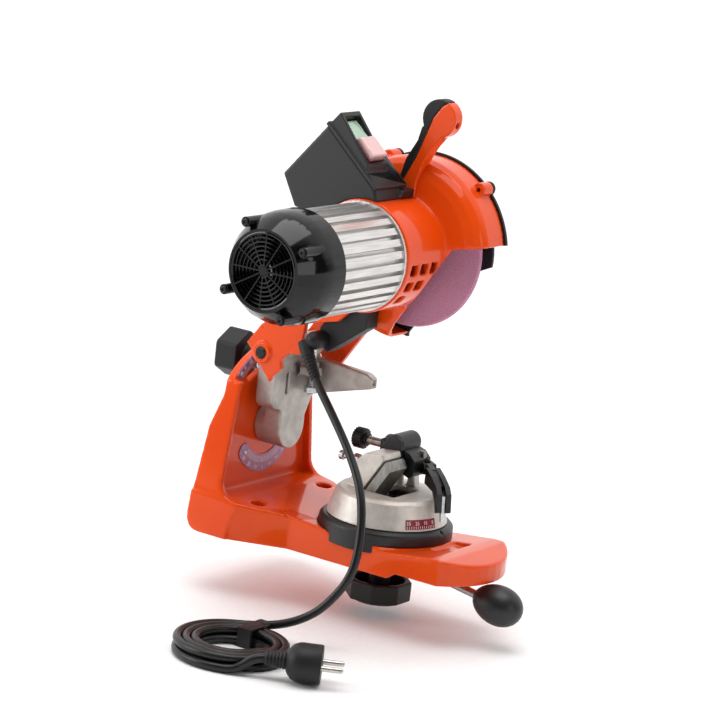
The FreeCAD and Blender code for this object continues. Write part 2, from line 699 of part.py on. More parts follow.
def fan_cover_screws():
    screws = []
    for angle in BOSS_ANGLES:
        head = cover_screw_line(angle, COVER_END - 2.2, COVER_END, 3.3)
        shank = cover_screw_line(angle, COVER_END, MOTOR_REAR + 10, COVER_SCREW_R)
        screws.append(fuse([head, shank]))
    return group(screws)


def fan_grille():
    depth = (COVER_END, COVER_END + GRILLE)
    rings = [spindle_tube(depth[0], depth[1], GRILLE_R, GRILLE_R - 2.2), spindle_rod(depth[0], depth[1], 4.5)]
    for share in (0.32, 0.5, 0.66, 0.81):
        radius = GRILLE_R * share
        rings.append(spindle_tube(depth[0], depth[1], radius + 0.7, radius - 0.7))
    for index in range(12):
        spoke = box((2.0, GRILLE_R - 1.0), (depth[0], depth[1]), (-0.6, 0.6))
        spoke.rotate(vec(0, 0, 0), Y_AXIS, 30.0 * index)
        spoke.translate(vec(SPINDLE_X, 0, SPINDLE_Z))
        rings.append(spoke)
    return fuse(rings)


# ---- spindle body ----
def motor_shaft():
    tail = FAN_BACK - 2.0
    steps = [(0, tail), (6.0, tail), (6.0, MOTOR_REAR + 12), (8.0, MOTOR_REAR + 12), (8.0, MOTOR_FRONT)]
    steps += [(7.5, MOTOR_FRONT), (7.5, -12.0), (THREAD_R, -12.0), (THREAD_R, 15.5), (0, 15.5)]
    return lathe(steps, on_spindle(0.0), Y_AXIS)


def rotor_core():
    return spindle_tube(CORE_BACK, CORE_FRONT, ROTOR_R, 8.0 + RUNNING)


def stator_core():
    return spindle_tube(CORE_BACK, CORE_FRONT, SHELL_BORE_R - RUNNING, ROTOR_R + AIR_GAP)


def stator_windings():
    sizes = (SHELL_BORE_R - 2.0, ROTOR_R + AIR_GAP + 2.0)
    return group([spindle_tube(CORE_BACK - WINDING, CORE_BACK, *sizes),
                  spindle_tube(CORE_FRONT, CORE_FRONT + WINDING, *sizes)])


def rear_bearing():
    low = MOTOR_REAR + 0.2
    return spindle_tube(low, low + BEARING, REAR_BEARING_R, 6.0 + RUNNING)


def front_bearing():
    return spindle_tube(MOTOR_FRONT + 4.0, MOTOR_FRONT + 16.0, FRONT_BEARING_R, 7.5 + RUNNING)


def cooling_fan():
    hub = spindle_tube(FAN_BACK, FAN_FRONT, 9.0, 6.0 + RUNNING)
    disc = spindle_tube(FAN_FRONT - 2.5, FAN_FRONT, FAN_R, 6.0 + RUNNING)
    parts = [hub, disc]
    for index in range(9):
        blade = box((8.5, FAN_R), (FAN_BACK + 3.0, FAN_FRONT - 1.0), (-0.9, 0.9))
        blade.rotate(vec(0, 0, 0), Y_AXIS, 40.0 * index)
        blade.translate(vec(SPINDLE_X, 0, SPINDLE_Z))
        parts.append(blade)
    return fuse(parts)


def inner_flange():
    face = -WHEEL_WIDTH / 2
    steps = [(THREAD_R + RUNNING, -12.0), (13.0, -12.0), (FLANGE_DISC_R, face - 3), (FLANGE_DISC_R, face)]
    steps += [(WHEEL_BORE_R - RUNNING, face), (WHEEL_BORE_R - RUNNING, -face - 0.3)]
    steps += [(THREAD_R + RUNNING, -face - 0.3)]
    return lathe(steps, on_spindle(0.0), Y_AXIS)


def outer_flange():
    face = WHEEL_WIDTH / 2
    steps = [(THREAD_R + RUNNING, face), (FLANGE_DISC_R, face), (FLANGE_DISC_R, face + 1.5), (13.0, face + 4)]
    steps += [(THREAD_R + RUNNING, face + 4)]
    return lathe(steps, on_spindle(0.0), Y_AXIS)


def wheel_nut():
    low = WHEEL_WIDTH / 2 + 4
    nut = prism(hexagon((SPINDLE_X, SPINDLE_Z), 19.0), "y", low, low + 7.0)
    return nut.cut(spindle_rod(low - 1, low + 8, THREAD_R + RUNNING))


def grinding_wheel():
    half = WHEEL_WIDTH / 2
    steps = [(WHEEL_BORE_R, -half), (WHEEL_R - 1.2, -half), (WHEEL_R, -half + 1.2), (WHEEL_R, half - 1.2)]
    steps += [(WHEEL_R - 1.2, half), (WHEEL_BORE_R, half)]
    return lathe(steps, on_spindle(0.0), Y_AXIS)


# ---- guard ----
def guard_outer(grow):
    """Outside of the guard as a solid of revolution, from neck to rim."""
    steps = [(0, -30.0), (NECK_R + grow, -30.0), (NECK_R + grow, NECK_FRONT - 1), (55.0 + grow, NECK_FRONT)]
    steps += [(70.0 + grow, NECK_FRONT + 2.0 - grow), (78.0 + grow, NECK_FRONT + 5.5 - grow)]
    steps += [(83.0 + grow, NECK_FRONT + 10.5 - grow), (GUARD_R + grow, NECK_FRONT + 17.0)]
    steps += [(GUARD_R + grow, GUARD_OPEN), (0, GUARD_OPEN)]
    return lathe(steps, on_spindle(0.0), Y_AXIS)


def guard_inside():
    wall = GUARD_WALL
    steps = [(0, NECK_FRONT + wall), (68.0, NECK_FRONT + 2 + wall), (75.5, NECK_FRONT + 5.5 + wall)]
    steps += [(79.8, NECK_FRONT + 10.0 + wall), (GUARD_R - wall, NECK_FRONT + 17.0)]
    steps += [(GUARD_R - wall, GUARD_OPEN + 1)]
    steps += [(0, GUARD_OPEN + 1)]
    return lathe(steps, on_spindle(0.0), Y_AXIS)


def wheel_window(low, high):
    """Part of the guard that is left open so that the wheel reaches the chain."""
    outline = [(85.0, 16.0), WINDOW_HIGH, WINDOW_LOW, (-7.0, -143.0), (156.0, -143.0), (156.0, 16.0)]
    return prism([(SPINDLE_X + x, SPINDLE_Z + z) for x, z in outline], "y", low, high)


def neck_bevel():
    """Oblique cut that runs from the window's straight edge back over the neck."""
    run = (WINDOW_HIGH[0] - WINDOW_LOW[0], WINDOW_HIGH[1] - WINDOW_LOW[1])
    length = math.hypot(*run)
    depth = (WINDOW_HIGH[0] * run[1] - WINDOW_HIGH[1] * run[0]) / length
    reach = NECK_R + 10.0
    outline = [(NECK_FRONT, depth), (NECK_FRONT, reach), (NECK_FRONT - (reach - depth) / NECK_BEVEL, reach)]
    cutter = prism(outline, "x", -NECK_R, NECK_R)
    cutter.rotate(vec(0, 0, 0), Y_AXIS, 90.0 + math.degrees(math.atan2(run[0], run[1])))
    cutter.translate(vec(SPINDLE_X, 0, SPINDLE_Z))
    return cutter


def guard_ears(low, high, radius):
    ears = []
    for angle in EAR_ANGLES:
        ears.append(rod(around_spindle(GUARD_R + 2, angle, low), around_spindle(GUARD_R + 2, angle, high), radius))
    return ears


def wheel_guard():
    bowl = fuse([guard_outer(0.0)] + guard_ears(2.0, GUARD_OPEN, 6.5)).cut(guard_inside())
    bowl = bowl.cut(wheel_window(NECK_FRONT, GUARD_OPEN + 1))
    neck = spindle_tube(MOTOR_FRONT, NECK_FRONT - 2, NECK_R, NECK_R - NECK_WALL)
    bulkhead = spindle_tube(MOTOR_FRONT, MOTOR_FRONT + 4, NECK_R - 1, 8.5)
    housing = spindle_tube(MOTOR_FRONT + 3, MOTOR_FRONT + 18, FRONT_BEARING_R + 4, FRONT_BEARING_R + RUNNING)
    body = fuse([bowl, neck, bulkhead, housing])
    body = body.cut(spindle_rod(-31.0, NECK_FRONT + 5, 9.0))
    for angle, count in VENT_ROWS:
        for index in range(count):
            y = MOTOR_FRONT + 7.0 + VENT_PITCH * index
            vent = box((NECK_R - NECK_WALL - 4, NECK_R + 3), (y, y + VENT_LENGTH), (-5.0, 5.0))
            vent.rotate(vec(0, 0, 0), Y_AXIS, -angle)
            vent.translate(vec(SPINDLE_X, 0, SPINDLE_Z))
            body = body.cut(vent)
    body = body.cut(neck_bevel())
    for cutter in guard_ears(7.5, GUARD_OPEN + 1, 2.0 + RUNNING):
        body = body.cut(cutter)
    return body


def guard_cover():
    plate = spindle_rod(GUARD_OPEN, GUARD_OPEN + COVER_PLATE, GUARD_R + 2.0)
    plate = fuse([plate] + guard_ears(GUARD_OPEN, GUARD_OPEN + COVER_PLATE, 6.5))
    plate = plate.cut(wheel_window(GUARD_OPEN - 1, GUARD_OPEN + COVER_PLATE + 1))
    flap = arc_points((SPINDLE_X, SPINDLE_Z), GUARD_R - 12.0, -5, 13, 4)
    flap += arc_points((SPINDLE_X, SPINDLE_Z), GUARD_R - 24.0, 13, -12, 4)
    plate = fuse([plate, prism(flap, "y", GUARD_OPEN, GUARD_OPEN + COVER_PLATE)])
    for cutter in guard_ears(GUARD_OPEN - 1, GUARD_OPEN + COVER_PLATE + 1, 2.0 + RUNNING):
        plate = plate.cut(cutter)
    return plate


def cover_screws():
    screws = []
    top = GUARD_OPEN + COVER_PLATE
    for shank, head in zip(guard_ears(8.0, top, 2.0), guard_ears(top, top + 2.6, 4.0)):
        screws.append(fuse([shank, head]))
    return group(screws)


# ---- handle ----
def handle_pieces():
    """Cast handle and the soft grip on its back."""
    shank = [(-14.0, 46.0), (-8.6, 57.0), (-1.5, 84.0), (8.6, 102.0), (11.6, 114.7), HANDLE_HEAD, (42.0, 117.1)]
    shank += [(33.7, 108.7), (24.7, 97.1), (20.0, 88.2), (16.3, 80.5), (12.0, 64.0), (12.0, 46.0)]
    whole = prism([(SPINDLE_X + x, SPINDLE_Z + z) for x, z in shank], "y", HANDLE_LOW, HANDLE_HIGH)
    head = vec(SPINDLE_X + HANDLE_HEAD[0], HANDLE_LOW, SPINDLE_Z + HANDLE_HEAD[1])
    whole = fuse([whole, rod(head, head + Y_AXIS * (HANDLE_HIGH - HANDLE_LOW), HANDLE_HEAD_R)])
    whole = whole.cut(guard_outer(RUNNING)).cut(spindle_rod(MOTOR_FRONT, NECK_FRONT, NECK_R + RUNNING))
    split = [(-4.2, 40.0), (-4.2, 59.5), (9.0, 86.1), (17.6, 109.7), (22.7, 124.5), (30.6, 135.8), (44.0, 145.0)]
    split += [(44.0, 150.0), (-60.0, 150.0), (-60.0, 40.0)]
    back = prism([(SPINDLE_X + x, SPINDLE_Z + z) for x, z in split], "y", HANDLE_LOW - 1, HANDLE_HIGH + 1)
    rim = head + vec(HANDLE_HEAD_R + 1, (HANDLE_HIGH - HANDLE_LOW) / 2, -4.0)
    metal = whole.cut(back).cut(rod(rim, rim - X_AXIS * 14.0, HANDLE_HOLE_R))
    return metal, whole.common(back)


# ---- switch box on the neck ----
def lid_point(along, out):
    """Point by its way down the lid and its distance out of it."""
    x = LID_START[0] + along * LID_WAY[0] - out * LID_WAY[1]
    z = LID_START[1] + along * LID_WAY[1] + out * LID_WAY[0]
    return (SPINDLE_X + x, SPINDLE_Z + z)


def box_outline(inset):
    back = (SPINDLE_X - 91.5 + inset * 1.2, SPINDLE_Z + 58.5)
    low = (SPINDLE_X - 76.0 + inset, SPINDLE_Z + 31.0 + inset * 0.3)
    deep = (SPINDLE_X - 20.0, SPINDLE_Z + 20.0)
    side = (SPINDLE_X + 12.0 - inset, SPINDLE_Z + 46.0)
    return [back, lid_point(inset * 1.4, 0), lid_point(LID_LENGTH - inset * 1.4, 0), side, deep, low]


def switch_box():
    outer = prism(box_outline(0.0), "y", BOX_LOW, BOX_HIGH)
    inner = prism(box_outline(2.5), "y", BOX_LOW + 2.5, BOX_HIGH - 2.5)
    floor = spindle_rod(BOX_LOW - 1, BOX_HIGH + 1, NECK_R + 2.5)
    shell = outer.cut(inner.cut(floor))
    hood = spindle_rod(BOX_HIGH - 8, HANDLE_LOW - RUNNING, NECK_R + 8.0)
    hood = hood.common(prism([(SPINDLE_X + 4, SPINDLE_Z + 20), (SPINDLE_X + 14, SPINDLE_Z + 64),
                              (SPINDLE_X - 34, SPINDLE_Z + 64), (SPINDLE_X - 30, SPINDLE_Z + 20)],
                             "y", BOX_LOW, HANDLE_LOW))
    shell = fuse([shell, hood])
    return shell.cut(spindle_rod(BOX_LOW - 1, HANDLE_LOW + 1, NECK_R + RUNNING))


def bezel_outline():
    return [lid_point(0.0, 4.0), lid_point(0.0, 18.0), lid_point(54.5, 9.0), lid_point(58.0, 4.0)]


def button_outline(start, end, low, high):
    return [lid_point(start, low), lid_point(end, low), lid_point(end, high), lid_point(start, high)]


def switch_box_lid():
    plate = prism(button_outline(-2.0, LID_LENGTH + 1.5, 0.0, 4.0), "y", BOX_LOW - 1.5, BOX_HIGH + 1.5)
    bezel = prism(bezel_outline(), "y", BUTTON_Y - 15.5, BUTTON_Y + 15.5)
    body = fuse([plate, bezel])
    half = BUTTON_HALF + 0.6
    well = prism(button_outline(5.0, 51.0, -1.0, 25.0), "y", BUTTON_Y - half, BUTTON_Y + half)
    return body.cut(well)


def start_button():
    return prism(button_outline(5.6, 27.0, 3.5, 12.0), "y", BUTTON_Y - BUTTON_HALF, BUTTON_Y + BUTTON_HALF)


def stop_button():
    return prism(button_outline(28.0, 50.4, 3.5, 17.5), "y", BUTTON_Y - BUTTON_HALF, BUTTON_Y + BUTTON_HALF)


def switch_module():
    return prism(button_outline(4.0, 53.0, -SWITCH_DEPTH, 0.0), "y", BUTTON_Y - 12.5, BUTTON_Y + 12.5)


# ---- cord entry ----
def terminal_box():
    outline = [(-62.0, -95.0), (-52.0, -104.0), (-12.0, -74.0), (-12.0, -40.0), (-30.0, -40.0), (-62.0, -82.0)]
    low = -CHEEK_IN + RUNNING
    shell = prism([(SPINDLE_X + x, SPINDLE_Z + z) for x, z in outline], "y", low, NECK_FRONT - 2.0)
    core = [(-58.0, -94.0), (-52.0, -99.0), (-17.0, -72.0), (-20.0, -62.0), (-34.0, -58.0), (-58.0, -84.0)]
    core = prism([(SPINDLE_X + x, SPINDLE_Z + z) for x, z in core], "y", low + 3, NECK_FRONT - 5.0)
    return shell.cut(core).cut(spindle_rod(MOTOR_FRONT, 0, NECK_R + RUNNING))


def cord_start():
    first = vec(*CORD_ROUTE[0])
    way = vec(*CORD_ROUTE[1]) - first
    way.normalize()
    return first, way


def cord_gland():
    first, way = cord_start()
    face = -CHEEK_IN + RUNNING
    barrel = rod(vec(GLAND_X, -57.0, GLAND_Z), vec(GLAND_X, face, GLAND_Z), GLAND_R)
    elbow = Part.makeSphere(GLAND_R, vec(GLAND_X, -57.0, GLAND_Z))
    nozzle = taper(first - way * 12.0, first, 6.4, 5.0)
    return fuse([barrel, elbow, nozzle])


# ---- vise ----
def vise_saddle():
    ring = [(SWIVEL_BOLT_R + FREE, SADDLE_SEAT), (SADDLE_R, SADDLE_SEAT), (SADDLE_R, SADDLE_TOP - 3)]
    ring += [(SADDLE_R - 3, SADDLE_TOP), (SWIVEL_BOLT_R + FREE, SADDLE_TOP)]
    body = lathe(ring, vec(SWIVEL_X, 0, 0), Z_AXIS)
    inner = ARM_HALF + FREE
    skirts = rod(vec(SWIVEL_X, 0, SADDLE_SEAT - 8), vec(SWIVEL_X, 0, SADDLE_SEAT + 1), SADDLE_R)
    sides = [box((SWIVEL_X - 31, SWIVEL_X + 31), (inner, inner + 10), (SADDLE_SEAT - 8, SADDLE_SEAT + 1)),
             box((SWIVEL_X - 31, SWIVEL_X + 31), (-inner - 10, -inner), (SADDLE_SEAT - 8, SADDLE_SEAT + 1))]
    body = fuse([body, skirts.common(group(sides))])
    notch = box((SWIVEL_X + 58.0, SWIVEL_X + 70.0), (-1.0, 1.0), (SADDLE_TOP - 4, SADDLE_TOP + 1))
    return body.cut(notch)


def vise_base():
    foot = SADDLE_TOP + FREE
    floor = 6.0
    wall = 5.0
    rise = CONE_TOP - foot
    shrink = (CONE_FOOT_R - CONE_TOP_R) / rise
    shell = [(SWIVEL_BOLT_R + RUNNING, foot), (CONE_FOOT_R, foot), (CONE_TOP_R + 1.5, CONE_TOP - 3)]
    shell += [(CONE_TOP_R - 2, CONE_TOP), (0, CONE_TOP), (0, CONE_TOP - wall)]
    shell += [(CONE_TOP_R - wall, CONE_TOP - wall), (CONE_FOOT_R - wall - shrink * floor, foot + floor)]
    shell += [(SWIVEL_BOLT_R + RUNNING, foot + floor)]
    body = lathe(shell, vec(SWIVEL_X, 0, 0), Z_AXIS)
    fixed = [jaw_point(-5, 0), jaw_point(40, 0), (111.0, 102.0), (92.0, 100.0)]
    fixed += [(84.0, 92.0), (79.0, 74.0), (73.0, 60.0)]
    jaw = prism(fixed, "y", JAW_NEAR, JAW_FAR)
    ribs = [box((84.0, 102.0), (y, y + 3.4), (foot + floor - 1, CONE_TOP - 1))
            for y in (JAW_NEAR - 4, JAW_FAR + 0.6)]
    post = prism([(109.0, CONE_TOP - 1), (119.0, CONE_TOP - 1), (117.0, 77.0), (111.0, 77.0)], "y", 25.0, 35.0)
    dark_post = rod(vec(99.0, STOP_Y, CONE_TOP - 1), vec(99.0, STOP_Y, 74.0), 4.0)
    body = fuse([body, jaw, post, dark_post] + ribs)
    margin = 0.7
    room = [jaw_point(-13, 0), jaw_point(60, 0), jaw_point(60, JAW_GAP + JAW_THICK + margin),
            jaw_point(-13, JAW_GAP + JAW_THICK + margin)]
    body = body.cut(prism(room, "y", JAW_NEAR - FREE, JAW_FAR + FREE))
    body = body.cut(box((104.0, 128.0), (JAW_NEAR, JAW_FAR + 12.0), (foot + floor, CONE_TOP + 1)))
    x, z = jaw_point(*JAW_PIVOT)
    body = body.cut(rod(vec(x, JAW_NEAR - 5, z), vec(x, JAW_FAR + 5, z), JAW_PIN_R + RUNNING))
    body = body.cut(rod(vec(60, JAW_SCREW_Y, JAW_SCREW_Z), vec(112, JAW_SCREW_Y, JAW_SCREW_Z), 2.5 + RUNNING))
    return body.cut(stop_body_block(RUNNING))


def moving_jaw():
    low = JAW_GAP
    high = JAW_GAP + JAW_THICK
    near = JAW_NEAR + FREE
    far = JAW_FAR - FREE
    outline = [jaw_point(-9, low), jaw_point(40, low), jaw_point(40, low + 3)]
    outline += [jaw_point(36, high), jaw_point(-9, high)]
    body = prism(outline, "y", near, far)
    x, z = jaw_point(*JAW_PIVOT)
    return body.cut(rod(vec(x, near - 1, z), vec(x, far + 1, z), JAW_PIN_R + RUNNING))


def jaw_pin():
    x, z = jaw_point(*JAW_PIVOT)
    return rod(vec(x, JAW_NEAR - 3.8, z), vec(x, JAW_FAR + 3.8, z), JAW_PIN_R)


def jaw_adjust_screw():
    tip = JAW_FOOT_X + (JAW_SCREW_Z - JAW_FOOT_Z) * math.tan(math.radians(JAW_LEAN)) - 4.0
    head = rod(vec(60.0, JAW_SCREW_Y, JAW_SCREW_Z), vec(64.0, JAW_SCREW_Y, JAW_SCREW_Z), 4.4)
    return fuse([head, rod(vec(64.0, JAW_SCREW_Y, JAW_SCREW_Z), vec(tip, JAW_SCREW_Y, JAW_SCREW_Z), 2.5)])


def jaw_screw_nut():
    nut = prism(hexagon((JAW_SCREW_Y, JAW_SCREW_Z), 9.0), "x", 76.0, 81.7)
    return nut.cut(rod(vec(75, JAW_SCREW_Y, JAW_SCREW_Z), vec(84, JAW_SCREW_Y, JAW_SCREW_Z), 2.5 + RUNNING))


def swivel_scale():
    foot = SADDLE_TOP + FREE
    shrink = (CONE_FOOT_R - CONE_TOP_R - 1.5) / (CONE_TOP - 3 - foot)
    low = foot + 2.5
    high = foot + 11.0
    outline = [(CONE_FOOT_R - shrink * (low - foot), low), (CONE_FOOT_R - shrink * (low - foot) + 0.5, low),
               (CONE_FOOT_R - shrink * (high - foot) + 0.5, high), (CONE_FOOT_R - shrink * (high - foot), high)]
    label = lathe(outline, vec(0, 0, 0), Z_AXIS, 35.0)
    label.rotate(vec(0, 0, 0), Z_AXIS, -39.0)
    label.translate(vec(SWIVEL_X, 0, 0))
    return label


def swivel_bolt():
    top = SADDLE_TOP + FREE + 6.0
    head = prism(hexagon((SWIVEL_X, 0.0), 16.0), "z", top, top + 6.0)
    return fuse([head, rod(vec(SWIVEL_X, 0, BOLT_END), vec(SWIVEL_X, 0, top), SWIVEL_BOLT_R)])


def swivel_lock_knob():
    cup = prism(arc_points((SWIVEL_X, 0.0), KNOB_RIM_R, 22.5, 337.5, 7), "z", KNOB_LOW + 2.5, KNOB_TOP)
    dish = rod(vec(SWIVEL_X, 0, KNOB_LOW + 7), vec(SWIVEL_X, 0, KNOB_TOP + 1), KNOB_RIM_R - 7.0)
    foot = taper(vec(SWIVEL_X, 0, KNOB_LOW + 2.5), vec(SWIVEL_X, 0, KNOB_LOW), KNOB_RIM_R - 4, KNOB_RIM_R - 8)
    hub = rod(vec(SWIVEL_X, 0, KNOB_LOW + 5), vec(SWIVEL_X, 0, KNOB_HUB_TOP), 10.0)
    bore = rod(vec(SWIVEL_X, 0, BOLT_END - 1), vec(SWIVEL_X, 0, 3.0), SWIVEL_BOLT_R + RUNNING)
    return fuse([cup.cut(dish), foot, hub]).cut(bore)


def lever_line(distance):
    """Place on the lever's centre line, which falls away from the hub."""
    slope = math.radians(LEVER_DROP)
    return vec(SWIVEL_X + distance * math.cos(slope), 0, 7.0 - distance * math.sin(slope))


def clamp_lever():
    hub = rod(vec(SWIVEL_X, 0, 2.0), vec(SWIVEL_X, 0, 12.0), 14.0)
    arm = rod(lever_line(12.0), lever_line(LEVER_LENGTH), 4.0)
    return fuse([hub, arm]).cut(rod(vec(SWIVEL_X, 0, 1), vec(SWIVEL_X, 0, 13), SWIVEL_BOLT_R + FREE))


def lever_ball():
    half = 25.0
    middle = LEVER_LENGTH + 2.0
    count = 12
    outline = []
    for step in range(count + 1):
        angle = math.pi * step / count
        swell = 1.0 + 0.08 * math.cos(angle)
        outline.append((max(0.0, 18.5 * math.sin(angle) / swell), middle - half * math.cos(angle)))
    slope = math.radians(LEVER_DROP)
    way = vec(math.cos(slope), 0, -math.sin(slope))
    ball = lathe(outline, vec(SWIVEL_X, 0, 7.0), way)
    return ball.cut(rod(lever_line(0.0), lever_line(LEVER_LENGTH), 4.0 + RUNNING))


# ---- chain stop ----
def stop_body_block(grow):
    far = STOP_Y + STOP_HALF + grow
    tail = prism([(78.5, 90.0), (78.5, 104.0), (88.0, 108.0), (100.0, 108.0), (100.0, 78.0), (90.0, 80.0)],
                 "y", STOP_Y - STOP_HALF - grow, far)
    outline = [(93.0, 84.0), (93.0, 106.0), (97.0, 112.0), (105.0, 114.0), (110.0, 111.0), (STOP_SPLIT, 103.0)]
    outline += [(STOP_SPLIT, 79.0), (105.0, 76.0)]
    return fuse([tail, prism(outline, "y", JAW_FAR - grow, far)])


def stop_spindle_line(low, high, radius):
    return rod(vec(low, STOP_Y, STOP_Z), vec(high, STOP_Y, STOP_Z), radius)


def stop_body():
    collar = stop_spindle_line(82.0, 96.0, 11.0)
    crown = rod(vec(102.0, JAW_FAR + 3, 105.0), vec(102.0, STOP_Y + STOP_HALF + 2, 105.0), 10.0)
    body = fuse([stop_body_block(0.0), collar, crown])
    return body.cut(stop_spindle_line(70.0, 120.0, 3.4 + RUNNING))


def stop_spindle():
    thick = stop_spindle_line(50.0, 78.5 - FREE, 4.2)
    return fuse([thick, stop_spindle_line(70.0, 124.0, 3.4)])


def stop_knob():
    grip = prism(lobed((STOP_Y, STOP_Z), 10.0, 12, 0.6), "x", 46.0, 57.0)
    neck = stop_spindle_line(57.0, 60.0, 6.0)
    return fuse([grip, neck]).cut(stop_spindle_line(50.0, 61.0, 4.2 + RUNNING))


def stop_arm_piece(outline, low, high):
    """Prism in the plane of the stop arm, given from the arm's pivot."""
    piece = prism(outline, "y", low, high)
    piece.rotate(vec(0, 0, 0), Z_AXIS, STOP_ARM_TURN)
    piece.translate(vec(STOP_ARM_X, STOP_ARM_Y, STOP_ARM_Z))
    return piece


def arm_cylinder(low, high, radius):
    piece = rod(vec(0, low, 0), vec(0, high, 0), radius)
    piece.rotate(vec(0, 0, 0), Z_AXIS, STOP_ARM_TURN)
    piece.translate(vec(STOP_ARM_X, STOP_ARM_Y, STOP_ARM_Z))
    return piece


def stop_carriage():
    left = STOP_SPLIT + FREE
    outline = [(left, 80.0), (left, 102.0), (119.0, 100.0), (125.0, 94.0), (125.0, 80.0), (120.0, 77.0)]
    block = prism(outline, "y", JAW_FAR + 4.0, STOP_Y + STOP_HALF)
    ears = []
    for low, high in ((3.3, 6.3), (-6.3, -3.3)):
        ear = [(-13.0, -5.0), (3.0, -5.0), (5.0, 0.0), (3.0, 5.0), (-13.0, 5.0)]
        ears.append(stop_arm_piece(ear, low, high))
    pin = arm_cylinder(-6.3, 6.3, 2.0)
    clear = stop_arm_piece([(-7.5, -30), (30, -30), (30, 30), (-7.5, 30)], -3.3, 3.3)
    body = fuse([block.cut(clear)] + ears + [pin])
    return body.cut(stop_spindle_line(100.0, 126.0, 3.4 + RUNNING))


def stop_arm():
    hub = [(0.0, 5.0), (14.0, 3.0), (20.0, -10.0), (14.0, -12.0), (0.0, -5.0)]
    cheek = [(11.0, 4.0), (26.0, 0.0), (41.0, -6.0), (47.0, -12.0), (50.0, -28.0), (45.0, -30.0), (41.0, -21.0)]
    cheek += [(33.0, -13.0), (11.0, -11.0)]
    body = fuse([stop_arm_piece(hub, -3.0, 3.0), arm_cylinder(-3.0, 3.0, 5.0),
                 stop_arm_piece(cheek, -7.0, -2.0), stop_arm_piece(cheek, 2.0, 7.0),
                 stop_arm_piece([(11.0, 3.0), (22.0, 0.0), (36.0, -7.0), (34.0, -12.0), (11.0, -10.0)], -3.0, 3.0)])
    return body.cut(arm_cylinder(-4.0, 4.0, 2.0 + RUNNING))


def stop_pawl():
    outline = [(41.0, -13.0), (45.5, -14.0), (48.0, -30.0), (49.5, -37.0), (46.5, -37.5), (44.0, -30.0)]
    return stop_arm_piece(outline, FREE - 2.0, 2.0 - FREE)


# ---- cord ----
def cord_tube():
    """Round cord along straight runs joined by tangent arcs."""
    points = [vec(*p) for p in CORD_ROUTE]
    edges = []
    here = points[0]
    for before, corner, after in zip(points, points[1:], points[2:]):
        back = before - corner
        on = after - corner
        turn = math.pi - back.getAngle(on)
        setback = 0.45 * min(back.Length, on.Length)
        radius = setback / math.tan(turn / 2)
        back.normalize()
        on.normalize()
        start = corner + back * setback
        end = corner + on * setback
        middle_way = back + on
        middle_way.normalize()
        centre = corner + middle_way * math.hypot(radius, setback)
        middle = centre - middle_way * radius
        edges.append(Part.LineSegment(here, start).toShape())
        edges.append(Part.Arc(start, middle, end).toShape())
        here = end
    edges.append(Part.LineSegment(here, points[-1]).toShape())
    path = Part.Wire(edges)
    way = points[1] - points[0]
    section = Part.Wire(Part.Circle(points[0], way, CORD_R).toShape())
    return path.makePipeShell([section], True, False, 2)


def coil_ring():
    return tube(vec(COIL_X, COIL_Y, COIL_BOTTOM), vec(COIL_X, COIL_Y, COIL_BOTTOM + COIL_HEIGHT),
                COIL_OUTER_R, COIL_INNER_R)


def plug_lead():
    """Where the cord leaves the coil, and where it meets the plug."""
    angle = math.radians(PLUG_ANGLE)
    middle = COIL_OUTER_R - CORD_R
    leave = vec(COIL_X + middle * math.cos(angle), COIL_Y + middle * math.sin(angle), COIL_BOTTOM + 2 * CORD_R)
    way = vec(-math.sin(angle), math.cos(angle), 0)
    rise = PLUG_BODY_R + 0.5 - 2 * CORD_R
    return leave, leave + way * PLUG_LEAD + Z_AXIS * rise


def cord_coil():
    end = vec(*CORD_ROUTE[-1])
    way = end - vec(*CORD_ROUTE[-2])
    way.normalize()
    into = rod(end, end + way * 16.0, CORD_R)
    return fuse([coil_ring(), into, rod(*plug_lead(), CORD_R)])


def cord_tie():
    wrap = box((COIL_X - TIE_WIDTH, COIL_X + 1.0), (COIL_Y + COIL_INNER_R - 3.5, COIL_Y + COIL_OUTER_R + 2.5),
               (COIL_BOTTOM - 0.5, COIL_BOTTOM + COIL_HEIGHT + 1.5))
    return wrap.cut(cord_coil())


def plug():
    leave, start = plug_lead()
    angle = math.radians(PLUG_ANGLE)
    way = vec(-math.sin(angle), math.cos(angle), 0)
    across = vec(math.cos(angle), math.sin(angle), 0)
    relief = taper(start, start + way * PLUG_RELIEF, CORD_R + 1.3, CORD_R + 3.6)
    body_start = start + way * (PLUG_RELIEF - 2.0)
    steps = [(0, 0), (PLUG_BODY_R - 6.5, 0), (PLUG_BODY_R, 9.0), (PLUG_BODY_R, PLUG_BODY), (0, PLUG_BODY)]
    body = lathe(steps, body_start, way)
    pins = []
    for side in (-PIN_PITCH / 2, PIN_PITCH / 2):
        foot = body_start + way * (PLUG_BODY - 2.0) + across * side
        pins.append(rod(foot, foot + way * (PIN_LENGTH + 2.0), 2.4))
    return fuse([relief, body] + pins).cut(rod(leave, start, CORD_R))


def export(name, shape):
    shape.exportStep("parts/" + name + ".step")
    if not shape.isValid():
        print("NOT VALID", name)


